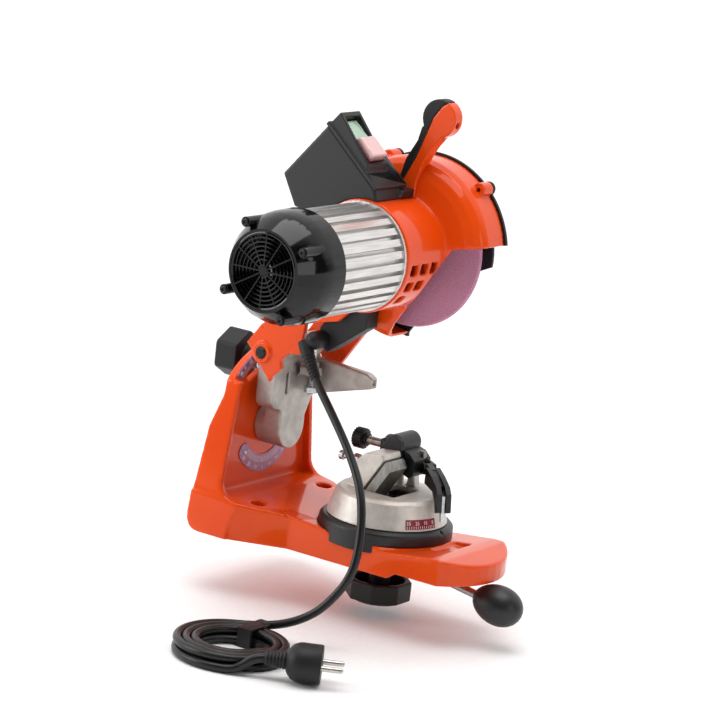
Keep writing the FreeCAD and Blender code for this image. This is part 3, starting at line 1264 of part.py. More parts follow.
def main():
    os.makedirs("parts", exist_ok=True)
    handle, grip = handle_pieces()
    pieces = {
        "base_frame": base_frame(),
        "tilt_scales": tilt_scales(),
        "scale_rivets": scale_rivets(),
        "tilt_pivot_bolt": tilt_pivot_bolt(),
        "tilt_bracket": tilt_bracket(),
        "tilt_clamp_bolt": tilt_clamp_bolt(),
        "tilt_clamp_washer": tilt_clamp_washer(),
        "tilt_lock_knob": tilt_lock_knob(),
        "hinge_pin": hinge_pin(),
        "hinge_pin_caps": hinge_pin_caps(),
        "return_springs": return_springs(),
        "depth_stop_screw": group([depth_stop_screw(), depth_stop_nut()]),
        "depth_stop_spring": depth_stop_spring(),
        "head_yoke": head_yoke(),
        "motor_shell": motor_shell(),
        "rear_shield": rear_shield(),
        "fan_cover": fan_cover(),
        "fan_cover_screws": fan_cover_screws(),
        "fan_grille": fan_grille(),
        "cooling_fan": cooling_fan(),
        "motor_shaft": motor_shaft(),
        "rotor_core": rotor_core(),
        "stator_core": stator_core(),
        "stator_windings": stator_windings(),
        "motor_bearings": group([rear_bearing(), front_bearing()]),
        "wheel_flanges": group([inner_flange(), outer_flange()]),
        "wheel_nut": wheel_nut(),
        "grinding_wheel": grinding_wheel(),
        "wheel_guard": wheel_guard(),
        "guard_cover": guard_cover(),
        "cover_screws": cover_screws(),
        "handle": handle,
        "handle_grip": grip,
        "switch_box": switch_box(),
        "switch_box_lid": switch_box_lid(),
        "start_button": start_button(),
        "stop_button": stop_button(),
        "switch_module": switch_module(),
        "terminal_box": terminal_box(),
        "cord_gland": cord_gland(),
        "cord": cord_tube(),
        "cord_coil": cord_coil(),
        "cord_tie": cord_tie(),
        "plug": plug(),
        "vise_saddle": vise_saddle(),
        "vise_base": vise_base(),
        "moving_jaw": moving_jaw(),
        "jaw_pin": jaw_pin(),
        "jaw_adjust_screw": group([jaw_adjust_screw(), jaw_screw_nut()]),
        "swivel_scale": swivel_scale(),
        "swivel_bolt": swivel_bolt(),
        "swivel_lock_knob": swivel_lock_knob(),
        "clamp_lever": clamp_lever(),
        "lever_ball": lever_ball(),
        "chain_stop_body": stop_body(),
        "chain_stop_spindle": stop_spindle(),
        "chain_stop_knob": stop_knob(),
        "chain_stop_carriage": stop_carriage(),
        "chain_stop_arm": stop_arm(),
        "chain_stop_pawl": stop_pawl(),
    }
    for name, shape in pieces.items():
        export(name, shape)


main()
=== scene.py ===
"""Looks of a bench grinder for saw chains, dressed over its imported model.

Metres, in the model's own frame: +X from the tower to the operator, +Y from the motor to the
wheel, +Z up.  The sections follow the grinder as it is put together: cord, cast base, tilting
bracket, yoke, motor, guard and wheel, handle, switch, vise, chain stop, and knob and lever.
"""
import math

import bmesh
import bpy
from mathutils import Matrix, Vector


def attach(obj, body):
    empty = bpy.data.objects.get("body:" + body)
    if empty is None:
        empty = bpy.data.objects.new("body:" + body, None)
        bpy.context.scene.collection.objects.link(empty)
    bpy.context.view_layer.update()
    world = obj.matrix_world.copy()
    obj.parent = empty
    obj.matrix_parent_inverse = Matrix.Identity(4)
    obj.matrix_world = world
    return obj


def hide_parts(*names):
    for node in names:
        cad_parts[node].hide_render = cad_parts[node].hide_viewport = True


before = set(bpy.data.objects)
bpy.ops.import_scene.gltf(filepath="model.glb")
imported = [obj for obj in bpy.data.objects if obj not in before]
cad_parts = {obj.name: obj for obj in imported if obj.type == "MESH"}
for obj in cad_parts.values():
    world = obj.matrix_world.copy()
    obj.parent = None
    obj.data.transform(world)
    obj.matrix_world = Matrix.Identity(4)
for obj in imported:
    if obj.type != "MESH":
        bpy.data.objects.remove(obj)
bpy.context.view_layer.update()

# ---------------------------------------------------------------------------
# Camera, table and studio.  The grinder stands on a white table before a white backdrop, with a
# large softbox over it, a weaker one at each side, and the darker half of the studio behind us.
# ---------------------------------------------------------------------------
scene = bpy.context.scene
scene.view_settings.view_transform = "Standard"


def linear(code):
    """Linear colour with alpha, from an sRGB hex code."""
    values = [int(code[i:i + 2], 16) / 255 for i in (1, 3, 5)]
    return [v / 12.92 if v <= 0.04045 else ((v + 0.055) / 1.055) ** 2.4 for v in values] + [1.0]


def add(tree, kind, links=None, **settings):
    """One node with its settings; links gives an input a socket to read or a value to hold."""
    node = tree.nodes.new(kind)
    for name, value in settings.items():
        setattr(node, name, value)
    for key, value in (links or {}).items():
        if isinstance(value, bpy.types.NodeSocket):
            tree.links.new(value, node.inputs[key])
        else:
            node.inputs[key].default_value = value
    return node


def shaded(tree, factor, low, high, span):
    """Colour that runs from one hex code to another, as the factor runs over the span."""
    share = add(tree, "ShaderNodeMapRange", {"Value": factor, "From Min": span[0], "From Max": span[1]})
    # a Mix node has one set of sockets for each kind of value; 6, 7 and output 2 are the colours
    mix = add(tree, "ShaderNodeMix", {0: share.outputs[0], 6: linear(low), 7: linear(high)}, data_type="RGBA")
    return mix.outputs[2]


def grains(tree, size, detail=2.0, stretch=(1.0, 1.0, 1.0)):
    """Noise with grains of a real size, drawn out along an axis where stretch is below 1."""
    place = add(tree, "ShaderNodeTexCoord")
    spread = add(tree, "ShaderNodeMapping", {"Vector": place.outputs["Object"], "Scale": stretch})
    noise = add(tree, "ShaderNodeTexNoise", {
        "Vector": spread.outputs[0], "Scale": 1.0 / size, "Detail": detail})
    return noise.outputs["Fac"]


def coated(name, colour, **sockets):
    """Material with one Principled shader, named for its real finish."""
    material = bpy.data.materials.new(name)
    material.use_nodes = True
    shader = material.node_tree.nodes["Principled BSDF"]
    shader.inputs["Base Color"].default_value = linear(colour)
    for key, value in sockets.items():
        shader.inputs[key.replace("_", " ")].default_value = value
    return material, shader


def finish(name, colour, low, high, size, depth=0.0, skin=0.0, detail=2.0, stretch=(1.0, 1.0, 1.0),
           span=(0.35, 0.65), **sockets):
    """Material whose grains of a real size mix two close shades of its colour.

    A depth in metres raises the same grains, or finer ones where skin gives their size.
    """
    material, shader = coated(name, colour, **sockets)
    tree = material.node_tree
    pattern = grains(tree, size, detail, stretch)
    tree.links.new(shaded(tree, pattern, low, high, span), shader.inputs["Base Color"])
    if depth:
        height = grains(tree, skin) if skin else pattern
        bump = add(tree, "ShaderNodeBump", {"Height": height, "Distance": depth})
        tree.links.new(bump.outputs[0], shader.inputs["Normal"])
    return material


def link_in(name, data):
    """New object at the origin, in the scene."""
    piece = bpy.data.objects.new(name, data)
    scene.collection.objects.link(piece)
    return piece


EYE = (1.5218, -2.2862, 0.7648)
TURN = math.radians(32.6)
DIP = math.radians(12.2)
LEAN = math.radians(6.4)
lens = bpy.data.cameras.new("camera")
lens.lens = 150.0
lens.sensor_width = 36.0
lens.clip_end = 60.0
camera = link_in("camera", lens)
aim = Matrix.Rotation(TURN, 4, "Z") @ Matrix.Rotation(math.pi / 2 - DIP, 4, "X")
aim = aim @ Matrix.Rotation(LEAN, 4, "Z")
camera.matrix_world = Matrix.Translation(EYE) @ aim
scene.camera = camera

TABLE = -0.0545
TABLE_HALF = 0.9
ground = bpy.data.meshes.new("table_top")
corners = [(x * TABLE_HALF, y * TABLE_HALF, TABLE) for x, y in ((-1, -1), (1, -1), (1, 1), (-1, 1))]
ground.from_pydata(corners, [], [(0, 1, 2, 3)])
table_top = link_in("table_top", ground)
# uncoated paper: dull white, with the faintest cloud of its fibres
ground.materials.append(finish("white_paper", "#F8F8F8", "#F6F6F6", "#FAFAFA", 0.004, Roughness=0.7))

# the studio is white before us, overhead and below the horizon, and grey behind us
BACKDROP = (-math.sin(TURN), math.cos(TURN), 0.0)
RISE = 0.55
world = bpy.data.worlds.new("studio")
world.use_nodes = True
sky = world.node_tree
way_out = add(sky, "ShaderNodeTexCoord").outputs["Generated"]
facing = add(sky, "ShaderNodeVectorMath", {0: way_out, 1: BACKDROP}, operation="DOT_PRODUCT").outputs["Value"]
height = add(sky, "ShaderNodeSeparateXYZ", {0: way_out}).outputs["Z"]
lit = add(sky, "ShaderNodeMath", {0: height, 1: RISE, 2: facing}, operation="MULTIPLY_ADD").outputs[0]
below = add(sky, "ShaderNodeMath", {0: height, 1: 0.0}, operation="LESS_THAN").outputs[0]
brightest = add(sky, "ShaderNodeMath", {0: lit, 1: below}, operation="MAXIMUM").outputs[0]
backdrop = sky.nodes["Background"].inputs
sky.links.new(shaded(sky, brightest, "#4C4C4C", "#FFFFFF", (0.0, 0.40)), backdrop["Color"])
backdrop["Strength"].default_value = 1.15
scene.world = world
AIMED_AT = Vector((0.08, -0.02, 0.2))
for name, place, width, power in (
        ("softbox_over", (0.1, -0.3, 1.9), 1.5, 24.0),
        ("softbox_left", (-1.7, -1.6, 0.9), 1.1, 22.0),
        ("softbox_right", (2.2, -0.6, 0.7), 0.9, 6.0)):
    light = bpy.data.lights.new(name, "AREA")
    light.shape = "SQUARE"
    light.size = width
    light.energy = power
    lamp = link_in(name, light)
    towards = (AIMED_AT - Vector(place)).to_track_quat("-Z", "Y").to_matrix().to_4x4()
    lamp.matrix_world = Matrix.Translation(place) @ towards

# ---------------------------------------------------------------------------
# Mains cord: round, satin black PVC, 7.8 mm thick and 1.8 m long.  It hangs from the gland to
# the table, and the rest is wound into a flat coil with a strap round it.
# ---------------------------------------------------------------------------
CORD_R = 0.0039
CORD_ROUTE = [
    (0.0423, -0.0619, 0.1884), (0.0573, -0.0680, 0.1680), (0.0876, -0.0780, 0.1414),
    (0.1179, -0.0900, 0.1147), (0.1441, -0.1040, 0.0860), (0.1571, -0.1180, 0.0509),
    (0.1599, -0.1300, 0.0182), (0.1447, -0.1390, -0.0086), (0.1290, -0.1440, -0.0245),
    (0.1060, -0.1520, -0.0369),
]
COIL = Vector((0.098, -0.213, 0.0))
COIL_OUT, COIL_IN = 0.0531, 0.0309
COIL_LOW, COIL_HIGH = -0.0501, -0.0420
COIL_FIRST, COIL_LAST = 112.0, 300.0 + 5 * 360.0
POINTS_A_TURN = 16


def coil_turns():
    """Points of the wound part: inwards on top, down, and outwards below."""
    count = round((COIL_LAST - COIL_FIRST) / 360.0 * POINTS_A_TURN)
    points = []
    for index in range(count + 1):
        angle = math.radians(COIL_FIRST + (COIL_LAST - COIL_FIRST) * index / count)
        inwards = 1.0 - abs(2.0 * index / count - 1.0)
        radius = COIL_OUT + (COIL_IN - COIL_OUT) * inwards
        drop = min(1.0, max(0.0, (index - count / 2 + 2) / 4))
        level = COIL_HIGH + (COIL_LOW - COIL_HIGH) * drop
        points.append((COIL.x + radius * math.cos(angle), COIL.y + radius * math.sin(angle), level))
    return points


turns = coil_turns()
leaving = Vector(turns[-1])
leave_angle = math.radians(COIL_LAST)
plug_way = Vector((-math.sin(leave_angle), math.cos(leave_angle), 0.0))
# the end leaves the coil straight and climbs over it to the middle of the plug
tail = []
for along, climb in ((0.010, 0.002), (0.024, 0.0135), (0.032, 0.0141)):
    tail.append(leaving + plug_way * along + Vector((0, 0, climb)))
plug_start = tail[-1]
route = bpy.data.curves.new("mains_cord", "CURVE")
route.dimensions = "3D"
line = route.splines.new("NURBS")
stations = CORD_ROUTE + turns + [tuple(p) for p in tail]
line.points.add(len(stations) - 1)
for point, place in zip(line.points, stations):
    point.co = (*place, 1.0)
line.order_u = 3
line.use_endpoint_u = True
route.resolution_u = 6
cord = link_in("mains_cord", route)
bpy.context.view_layer.update()
bare_line = bpy.data.meshes.new_from_object(cord.evaluated_get(bpy.context.evaluated_depsgraph_get()))
cord_line = [v.co.copy() for v in bare_line.vertices]
route.bevel_depth = CORD_R
route.bevel_resolution = 5
route.use_fill_caps = True
# extruded PVC: satin black, with a faint drawn grain
route.materials.append(finish("extruded_pvc", "#121212", "#0E0E0E", "#181818", 0.0012, 0.00008,
                              Roughness=0.36, Specular_IOR_Level=0.4))
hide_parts("cord", "cord_coil")
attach(cord, "base")

# ---------------------------------------------------------------------------
# Moulded plug with two round pins, and the strap that ties the coil.  The plug is one black
# moulding with a ribbed sleeve; its pins are nickel-plated brass; the strap is nylon.
# ---------------------------------------------------------------------------
def turned(name, outline, origin, way, segments=48):
    """Turned piece: the outline gives (radius, distance along the way)."""
    mesh = bpy.data.meshes.new(name)
    shape = bmesh.new()
    way = Vector(way).normalized()
    axes = way.to_track_quat("Z", "Y").to_matrix()
    rings = []
    for radius, along in outline:
        if radius < 1e-7:
            rings.append([shape.verts.new(Vector(origin) + way * along)])
            continue
        ring = []
        for index in range(segments):
            angle = 2 * math.pi * index / segments
            out = axes @ Vector((math.cos(angle), math.sin(angle), 0.0))
            ring.append(shape.verts.new(Vector(origin) + way * along + out * radius))
        rings.append(ring)
    pairs = list(zip(rings, rings[1:]))
    if len(rings[0]) > 1 and len(rings[-1]) > 1:
        pairs.append((rings[-1], rings[0]))
    for low, high in pairs:
        if len(low) == 1 and len(high) == 1:
            continue
        for index in range(segments):
            after = (index + 1) % segments
            corners = [low[index % len(low)], low[after % len(low)],
                       high[after % len(high)], high[index % len(high)]]
            shape.faces.new(list(dict.fromkeys(corners)))
    bmesh.ops.recalc_face_normals(shape, faces=shape.faces)
    shape.to_mesh(mesh)
    shape.free()
    soften(mesh)
    return link_in(name, mesh)


def soften(mesh, crease=35.0):
    """Smooth shading, but for edges sharper than the crease."""
    mesh.shade_smooth()
    mesh.set_sharp_from_angle(angle=math.radians(crease))


def settle(piece):
    """Turns the piece's modifiers into plain mesh."""
    depsgraph = bpy.context.evaluated_depsgraph_get()
    mesh = bpy.data.meshes.new_from_object(piece.evaluated_get(depsgraph))
    piece.modifiers.clear()
    piece.data = mesh


def copy_of(node, name):
    """The CAD piece's own shape as a new closed mesh."""
    shape = bmesh.new()
    shape.from_mesh(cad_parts[node].data)
    bmesh.ops.remove_doubles(shape, verts=shape.verts, dist=2e-6)
    mesh = bpy.data.meshes.new(name)
    shape.to_mesh(mesh)
    shape.free()
    mesh.materials.clear()
    return link_in(name, mesh)


def machined(node, name, width, segments=2):
    """Moulded or machined piece: the CAD shape with flat faces and edges eased by a real width."""
    piece = copy_of(node, name)
    flat = piece.modifiers.new("flat_faces", "DECIMATE")
    flat.decimate_type = "DISSOLVE"
    flat.angle_limit = math.radians(0.6)
    settle(piece)
    soften(piece.data)
    bevel = piece.modifiers.new("eased_edges", "BEVEL")
    bevel.width = width
    bevel.segments = segments
    bevel.limit_method = "ANGLE"
    bevel.angle_limit = math.radians(35.0)
    bevel.harden_normals = True
    settle(piece)
    return piece


def joined(name, pieces):
    """One piece from several closed ones."""
    shape = bmesh.new()
    for piece in pieces:
        shape.from_mesh(piece.data)
        bpy.data.objects.remove(piece)
    mesh = bpy.data.meshes.new(name)
    shape.to_mesh(mesh)
    shape.free()
    soften(mesh)
    return link_in(name, mesh)


def dress(piece, body, slot, material, *nodes):
    """Gives a piece its one finish and its body, and hides the CAD nodes that it stands for. The slot is not
    used.
    """
    piece.data.materials.clear()
    piece.data.materials.append(material)
    if nodes:
        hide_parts(*nodes)
    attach(piece, body)


# moulded nylon: matt black, with the fine spark grain of its mould
nylon = finish("moulded_nylon", "#151516", "#111112", "#1B1B1C", 0.0007, 0.00006,
               Roughness=0.5, Specular_IOR_Level=0.35)

PLUG_RIBS, RIB_PITCH, RIB_GROWTH = 6, 0.003, 0.0003
BODY_START = 0.020
plug_profile = [(0.0, 0.0), (0.0052, 0.0)]
for rib in range(PLUG_RIBS):
    for radius, along in ((0.0054, 0.001), (0.0062, 0.0018), (0.0062, 0.0030), (0.0056, 0.0036)):
        plug_profile.append((radius + RIB_GROWTH * rib, along + RIB_PITCH * rib))
for radius, along in ((0.0110, 0.0005), (0.0150, 0.004), (0.0172, 0.009), (0.0175, 0.012),
                      (0.0175, 0.0285), (0.0168, 0.0298), (0.0, 0.030)):
    plug_profile.append((radius, BODY_START + along))
plug_moulding = turned("plug_moulding", plug_profile, plug_start, plug_way)
dress(plug_moulding, "base", "cord_pvc", nylon, "plug")
# nickel plate: bright, faintly yellow, with fine wear
nickel = finish("nickel_plate", "#C9C6BE", "#BDBAB2", "#D2CFC8", 0.0015, Metallic=1.0, Roughness=0.28)
across = Vector((math.cos(leave_angle), math.sin(leave_angle), 0.0))
pin_profile = [(0.0, 0.0), (0.0024, 0.0), (0.0024, 0.019), (0.0018, 0.0206), (0.0, 0.021)]
pins = []
for side in (-0.0095, 0.0095):
    foot = plug_start + plug_way * (BODY_START + 0.028) + across * side
    pins.append(turned("pin", pin_profile, foot, plug_way, 24))
plug_pins = joined("plug_pins", pins)
dress(plug_pins, "base", "zinc_steel", nickel)
strap = machined("cord_tie", "coil_strap", 0.0004)
dress(strap, "base", "black_matte", nylon, "cord_tie")

# ---------------------------------------------------------------------------
# Cord entry: black box beside the neck, round gland, and a ribbed sleeve that tapers along the
# first 26 mm of the cord, so that it doesn't kink where it leaves the gland.
# ---------------------------------------------------------------------------
def cast(node, name, voxel, rounds, keep=1.0):
    """Casting or thick moulding: the CAD shape with the rolled edges and filled corners of its mould."""
    piece = copy_of(node, name)
    skin = piece.modifiers.new("skin", "REMESH")
    skin.mode = "VOXEL"
    skin.voxel_size = voxel
    skin.use_smooth_shade = True
    flow = piece.modifiers.new("rolled_edges", "SMOOTH")
    flow.factor = 0.5
    flow.iterations = rounds
    if keep < 1.0:
        fewer = piece.modifiers.new("fewer_faces", "DECIMATE")
        fewer.ratio = keep
    settle(piece)
    piece.data.shade_smooth()
    return piece


RING_STEP, RING_SIDES = 0.0004, 28


def sleeve(name, first, last, radius_at):
    """Ribbed tube along the cord's own line, from first to last metres past the gland."""
    near_gland = cord_line[:200]
    way = (cord_line[1] - cord_line[0]).normalized()
    lengths = [0.0]
    for a, b in zip(near_gland, near_gland[1:]):
        lengths.append(lengths[-1] + (b - a).length)

    def at(distance):
        if distance <= 0:
            return cord_line[0] + way * distance
        index = max(i for i, length in enumerate(lengths) if length <= distance)
        share = (distance - lengths[index]) / (lengths[index + 1] - lengths[index])
        return cord_line[index].lerp(cord_line[index + 1], share)

    shape = bmesh.new()
    rings = []
    count = round((last - first) / RING_STEP)
    for step in range(count + 1):
        distance = first + (last - first) * step / count
        forward = (at(distance + 0.0005) - at(distance - 0.0005)).normalized()
        side = forward.cross(Vector((0, 0, 1))).normalized()
        up = side.cross(forward)
        ring = []
        for i in range(RING_SIDES):
            angle = 2 * math.pi * i / RING_SIDES
            out = side * math.cos(angle) + up * math.sin(angle)
            ring.append(shape.verts.new(at(distance) + out * radius_at(distance)))
        rings.append(ring)
    for low, high in zip(rings, rings[1:]):
        for i in range(RING_SIDES):
            after = (i + 1) % RING_SIDES
            shape.faces.new((low[i], low[after], high[after], high[i]))
    shape.faces.new(rings[0])
    shape.faces.new(rings[-1])
    bmesh.ops.recalc_face_normals(shape, faces=shape.faces)
    mesh = bpy.data.meshes.new(name)
    shape.to_mesh(mesh)
    shape.free()
    soften(mesh, 50.0)
    return link_in(name, mesh)


PITCH_MM, GROOVE_MM = 3.4, 1.1
GROOVE_DEPTH = 0.0006


def ribbed(distance):
    """Radius of the sleeve: it tapers, with a groove at every pitch once it is out of the gland."""
    taper = 0.0064 - 0.0017 * max(0.0, distance + 0.004) / 0.030
    grooved = distance > 0.002 and (distance * 1000.0) % PITCH_MM < GROOVE_MM
    return taper - GROOVE_DEPTH if grooved else taper


gland = cast("cord_gland", "cord_gland_moulding", 0.0006, 5)
dress(gland, "head", "black_matte", nylon, "cord_gland")
relief_sleeve = sleeve("strain_relief", -0.010, 0.026, ribbed)
dress(relief_sleeve, "head", "black_matte", nylon)
terminal = cast("terminal_box", "terminal_box_moulding", 0.0008, 4)
dress(terminal, "head", "black_matte", nylon, "terminal_box")

# ---------------------------------------------------------------------------
# Base and tower: one die casting of aluminium in orange stove enamel, with soft edges, an arc
# slot for the clamp bolt, hexagon pockets for the bench bolts and six grooves beside the vise.
# ---------------------------------------------------------------------------
def block(name, low, high):
    """Closed block between two corners."""
    mesh = bpy.data.meshes.new(name)
    shape = bmesh.new()
    bmesh.ops.create_cube(shape, size=1.0)
    low, high = Vector(low), Vector(high)
    for vertex in shape.verts:
        vertex.co = [(low[i] + high[i]) / 2 + vertex.co[i] * (high[i] - low[i]) for i in range(3)]
    shape.to_mesh(mesh)
    shape.free()
    return link_in(name, mesh)


def cut(piece, cutters):
    """Cuts closed shapes out of a piece."""
    tool = joined("cutters", cutters)
    saw = piece.modifiers.new("cuts", "BOOLEAN")
    saw.operation = "DIFFERENCE"
    saw.solver = "EXACT"
    saw.object = tool
    settle(piece)
    bpy.data.objects.remove(tool)
    soften(piece.data, 40.0)


# stove enamel: thick glossy orange over the casting, with a slight orange peel
enamel = finish("stove_enamel", "#E04606", "#DF4403", "#EA4E07", 0.09, 0.00004, skin=0.0022, detail=1.0,
                span=(0.3, 0.7), Roughness=0.4, Specular_IOR_Level=0.1, Coat_Weight=1.0, Coat_Roughness=0.05,
                Coat_IOR=1.3)

base_casting = cast("base_frame", "base_casting", 0.0010, 22, 0.4)
# the rolled edges close the grooves and blunt the pockets, so both are cut anew
GROOVES, GROOVE_PITCH, GROOVE_HALF = 6, 0.0034, 0.0009
GROOVE_FLOOR, CLEAR = 0.0300, 0.045
cuts = []
for groove in range(GROOVES):
    y = -0.058 + GROOVE_PITCH * groove
    start = (0.018 + 0.002 * groove, y - GROOVE_HALF, GROOVE_FLOOR)
    end = (0.050 + 0.0015 * groove, y + GROOVE_HALF, CLEAR)
    cuts.append(block("groove", start, end))
BENCH_BOLT_Y = 0.054
POCKET_R, POCKET_FLOOR = 0.0080, 0.026
pocket = [(0.0, POCKET_FLOOR), (POCKET_R, POCKET_FLOOR), (POCKET_R, CLEAR), (0.0, CLEAR)]
for side in (-BENCH_BOLT_Y, BENCH_BOLT_Y):
    cuts.append(turned("hexagon", pocket, (0, side, 0), (0, 0, 1), 6))
cut(base_casting, cuts)
dress(base_casting, "base", "orange_paint", enamel, "base_frame")

# ---------------------------------------------------------------------------
# Tilt scales: two curved aluminium plates, anodised mauve and printed with ticks and degrees,
# each held on the tower's web by two rivets.
# ---------------------------------------------------------------------------
def recipe(name, inputs):
    """Geometry tree with named inputs; gives the tree, its input sockets and its output node."""
    tree = bpy.data.node_groups.new(name, "GeometryNodeTree")
    for label, kind in inputs.items():
        tree.interface.new_socket(label, in_out="INPUT", socket_type="NodeSocket" + kind)
    tree.interface.new_socket("Geometry", in_out="OUTPUT", socket_type="NodeSocketGeometry")
    return tree, tree.nodes.new("NodeGroupInput").outputs, tree.nodes.new("NodeGroupOutput")


def grown(name, tree, place=None, **values):
    """Piece made by a geometry tree, as plain mesh, put in its place."""
    piece = link_in(name, bpy.data.meshes.new(name))
    making = piece.modifiers.new("making", "NODES")
    making.node_group = tree
    for item in tree.interface.items_tree:
        if item.in_out == "INPUT":
            making[item.identifier] = values[item.name]
    settle(piece)
    if place:
        piece.data.transform(place)
    for part in [v for v in values.values() if isinstance(v, bpy.types.Object)]:
        bpy.data.objects.remove(part)
    return piece


# row of like parts round a centre, all at one radius: the first at an angle, each next a step on
round_row, given, result = recipe("round_row", {
    "Part": "Object", "Count": "Int", "First": "Float", "Step": "Float", "Radius": "Float",
    "Finish": "Material"})
spots = add(round_row, "GeometryNodeMeshLine", {"Count": given["Count"], "Offset": (0.0, 0.0, 0.0)})
number = add(round_row, "GeometryNodeInputIndex").outputs[0]
angle = add(round_row, "ShaderNodeMath", {
    0: number, 1: given["Step"], 2: given["First"]}, operation="MULTIPLY_ADD").outputs[0]
flat_x = add(round_row, "ShaderNodeMath", {0: angle}, operation="COSINE")
flat_y = add(round_row, "ShaderNodeMath", {0: angle}, operation="SINE")
unit = add(round_row, "ShaderNodeCombineXYZ", {"X": flat_x.outputs[0], "Y": flat_y.outputs[0]})
out = add(round_row, "ShaderNodeVectorMath", {
    0: unit.outputs[0], "Scale": given["Radius"]}, operation="SCALE")
placed = add(round_row, "GeometryNodeSetPosition", {
    "Geometry": spots.outputs[0], "Position": out.outputs[0]})
heading = add(round_row, "ShaderNodeCombineXYZ", {"Z": angle})
turned_by = add(round_row, "FunctionNodeEulerToRotation", {0: heading.outputs[0]})
part = add(round_row, "GeometryNodeObjectInfo", {"Object": given["Part"]})
each = add(round_row, "GeometryNodeInstanceOnPoints", {
    "Points": placed.outputs[0], "Instance": part.outputs["Geometry"], "Rotation": turned_by.outputs[0]})
real = add(round_row, "GeometryNodeRealizeInstances", {0: each.outputs[0]})
coloured = add(round_row, "GeometryNodeSetMaterial", {
    "Geometry": real.outputs[0], "Material": given["Finish"]})
round_row.links.new(coloured.outputs[0], result.inputs[0])
PRINT = 0.00008


def tick(length, width):
    """One printed stroke in the XY plane."""
    return block("tick", (-length / 2, -width / 2, 0), (length / 2, width / 2, PRINT))


def printed(name, marks, size):
    """Printed figures as one flat piece; marks gives each text and the matrix of its place."""
    shape = bmesh.new()
    for text, place in marks:
        words = bpy.data.curves.new("figures", "FONT")
        words.body = text
        words.size = size
        words.align_x = "CENTER"
        words.align_y = "CENTER"
        words.extrude = PRINT
        words.resolution_u = 3
        figures = link_in("figures", words)
        depsgraph = bpy.context.evaluated_depsgraph_get()
        letters = bpy.data.meshes.new_from_object(figures.evaluated_get(depsgraph))
        letters.transform(place)
        shape.from_mesh(letters)
        bpy.data.objects.remove(figures)
    mesh = bpy.data.meshes.new(name)
    bmesh.ops.remove_doubles(shape, verts=shape.verts, dist=1e-6)
    shape.to_mesh(mesh)
    shape.free()
    return link_in(name, mesh)


def paint(material, *nodes):
    """Finish of the CAD pieces that show as they are."""
    for node in nodes:
        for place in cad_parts[node].material_slots:
            place.material = material


# anodised aluminium plate: satin mauve dye
mauve = finish("anodised_scale", "#9A5A68", "#916482", "#A97B98", 0.004, Metallic=0.35, Roughness=0.38)
# screen printing ink: flat white, slightly worn
ink = finish("printing_ink", "#EFE4EA", "#DCCBD5", "#F6EEF2", 0.0015, Roughness=0.55)
# zinc plate: bright blue-white, with a fine crystalline drift
zinc = finish("zinc_plated_steel", "#B9BBBD", "#A6A8AB", "#CACCCE", 0.0012, Metallic=1.0, Roughness=0.3)

# places on the web: X across it, Y up it and Z out of it, from the bolt about which it tilts
PLATE_FACE = -0.0370
TILT_Z = 0.098
ON_WEB = Matrix(((0, 0, 1, PLATE_FACE + 0.00004), (1, 0, 0, 0), (0, 1, 0, TILT_Z), (0, 0, 0, 1)))
plates = machined("tilt_scales", "tilt_scale_plates", 0.0002)
dress(plates, "base", "scale_print", mauve, "tilt_scales")
rows = []
for long, wide, count, first, step, radius in (
        (0.0060, 0.0005, 31, 225, 3, 0.0372),
        (0.0024, 0.0004, 17, 101, 2, 0.0682)):
    rows.append(grown("ticks", round_row, ON_WEB, Part=tick(long, wide), Count=count,
                      First=math.radians(first), Step=math.radians(step), Radius=radius, Finish=ink))
scale_ticks = joined("tilt_scale_ticks", rows)
dress(scale_ticks, "base", "scale_print", ink)
marks = []
for step, text in enumerate(("30", "20", "10", "0", "10", "20", "30")):
    spin = Matrix.Rotation(math.radians(225 + 15 * step + 90), 4, "Z")
    marks.append((text, ON_WEB @ spin @ Matrix.Translation((0, -0.0449, 0))))
for step, text in enumerate(("30", "20", "10", "0")):
    spin = Matrix.Rotation(math.radians(105.5 + 7.4 * step - 90), 4, "Z")
    marks.append((text, ON_WEB @ spin @ Matrix.Translation((0, 0.0719, 0))))
figures = printed("tilt_scale_figures", marks, 0.0052)
dress(figures, "base", "scale_print", ink)
paint(zinc, "scale_rivets", "tilt_pivot_bolt")

# ---------------------------------------------------------------------------
# Tilting bracket: blasted aluminium casting with the hinge barrel and a tapering arm, its zinc
# plated clamp bolt and depth screw, the coil springs, and the black knob behind the tower.
# ---------------------------------------------------------------------------
# blasted casting: dull warm grey, with a sandy skin and slight clouds
blasted = finish("blasted_aluminium", "#B7B2AC", "#A8A29C", "#C6C2BC", 0.012, 0.0001, skin=0.0008, detail=4.0,
                 span=(0.3, 0.7), Metallic=0.75, Roughness=0.46)
bracket = cast("tilt_bracket", "bracket_casting", 0.0009, 6, 0.7)
dress(bracket, "tilt_carrier", "bare_casting", blasted, "tilt_bracket")

# wire wound into a spring, its ends square to its axis
coil_spring, given, result = recipe("coil_spring", {
    "Turns": "Float", "Radius": "Float", "Height": "Float", "Wire": "Float", "Finish": "Material"})
path = add(coil_spring, "GeometryNodeCurveSpiral", {
    "Resolution": 24, "Rotations": given["Turns"], "Height": given["Height"],
    "Start Radius": given["Radius"], "End Radius": given["Radius"]})
wire = add(coil_spring, "GeometryNodeCurvePrimitiveCircle", {"Resolution": 8, "Radius": given["Wire"]})
swept = add(coil_spring, "GeometryNodeCurveToMesh", {
    "Curve": path.outputs[0], "Profile Curve": wire.outputs[0], "Fill Caps": True})
real = add(coil_spring, "GeometryNodeRealizeInstances", {0: swept.outputs[0]})
coloured = add(coil_spring, "GeometryNodeSetMaterial", {
    "Geometry": real.outputs[0], "Material": given["Finish"]})
coil_spring.links.new(coloured.outputs[0], result.inputs[0])

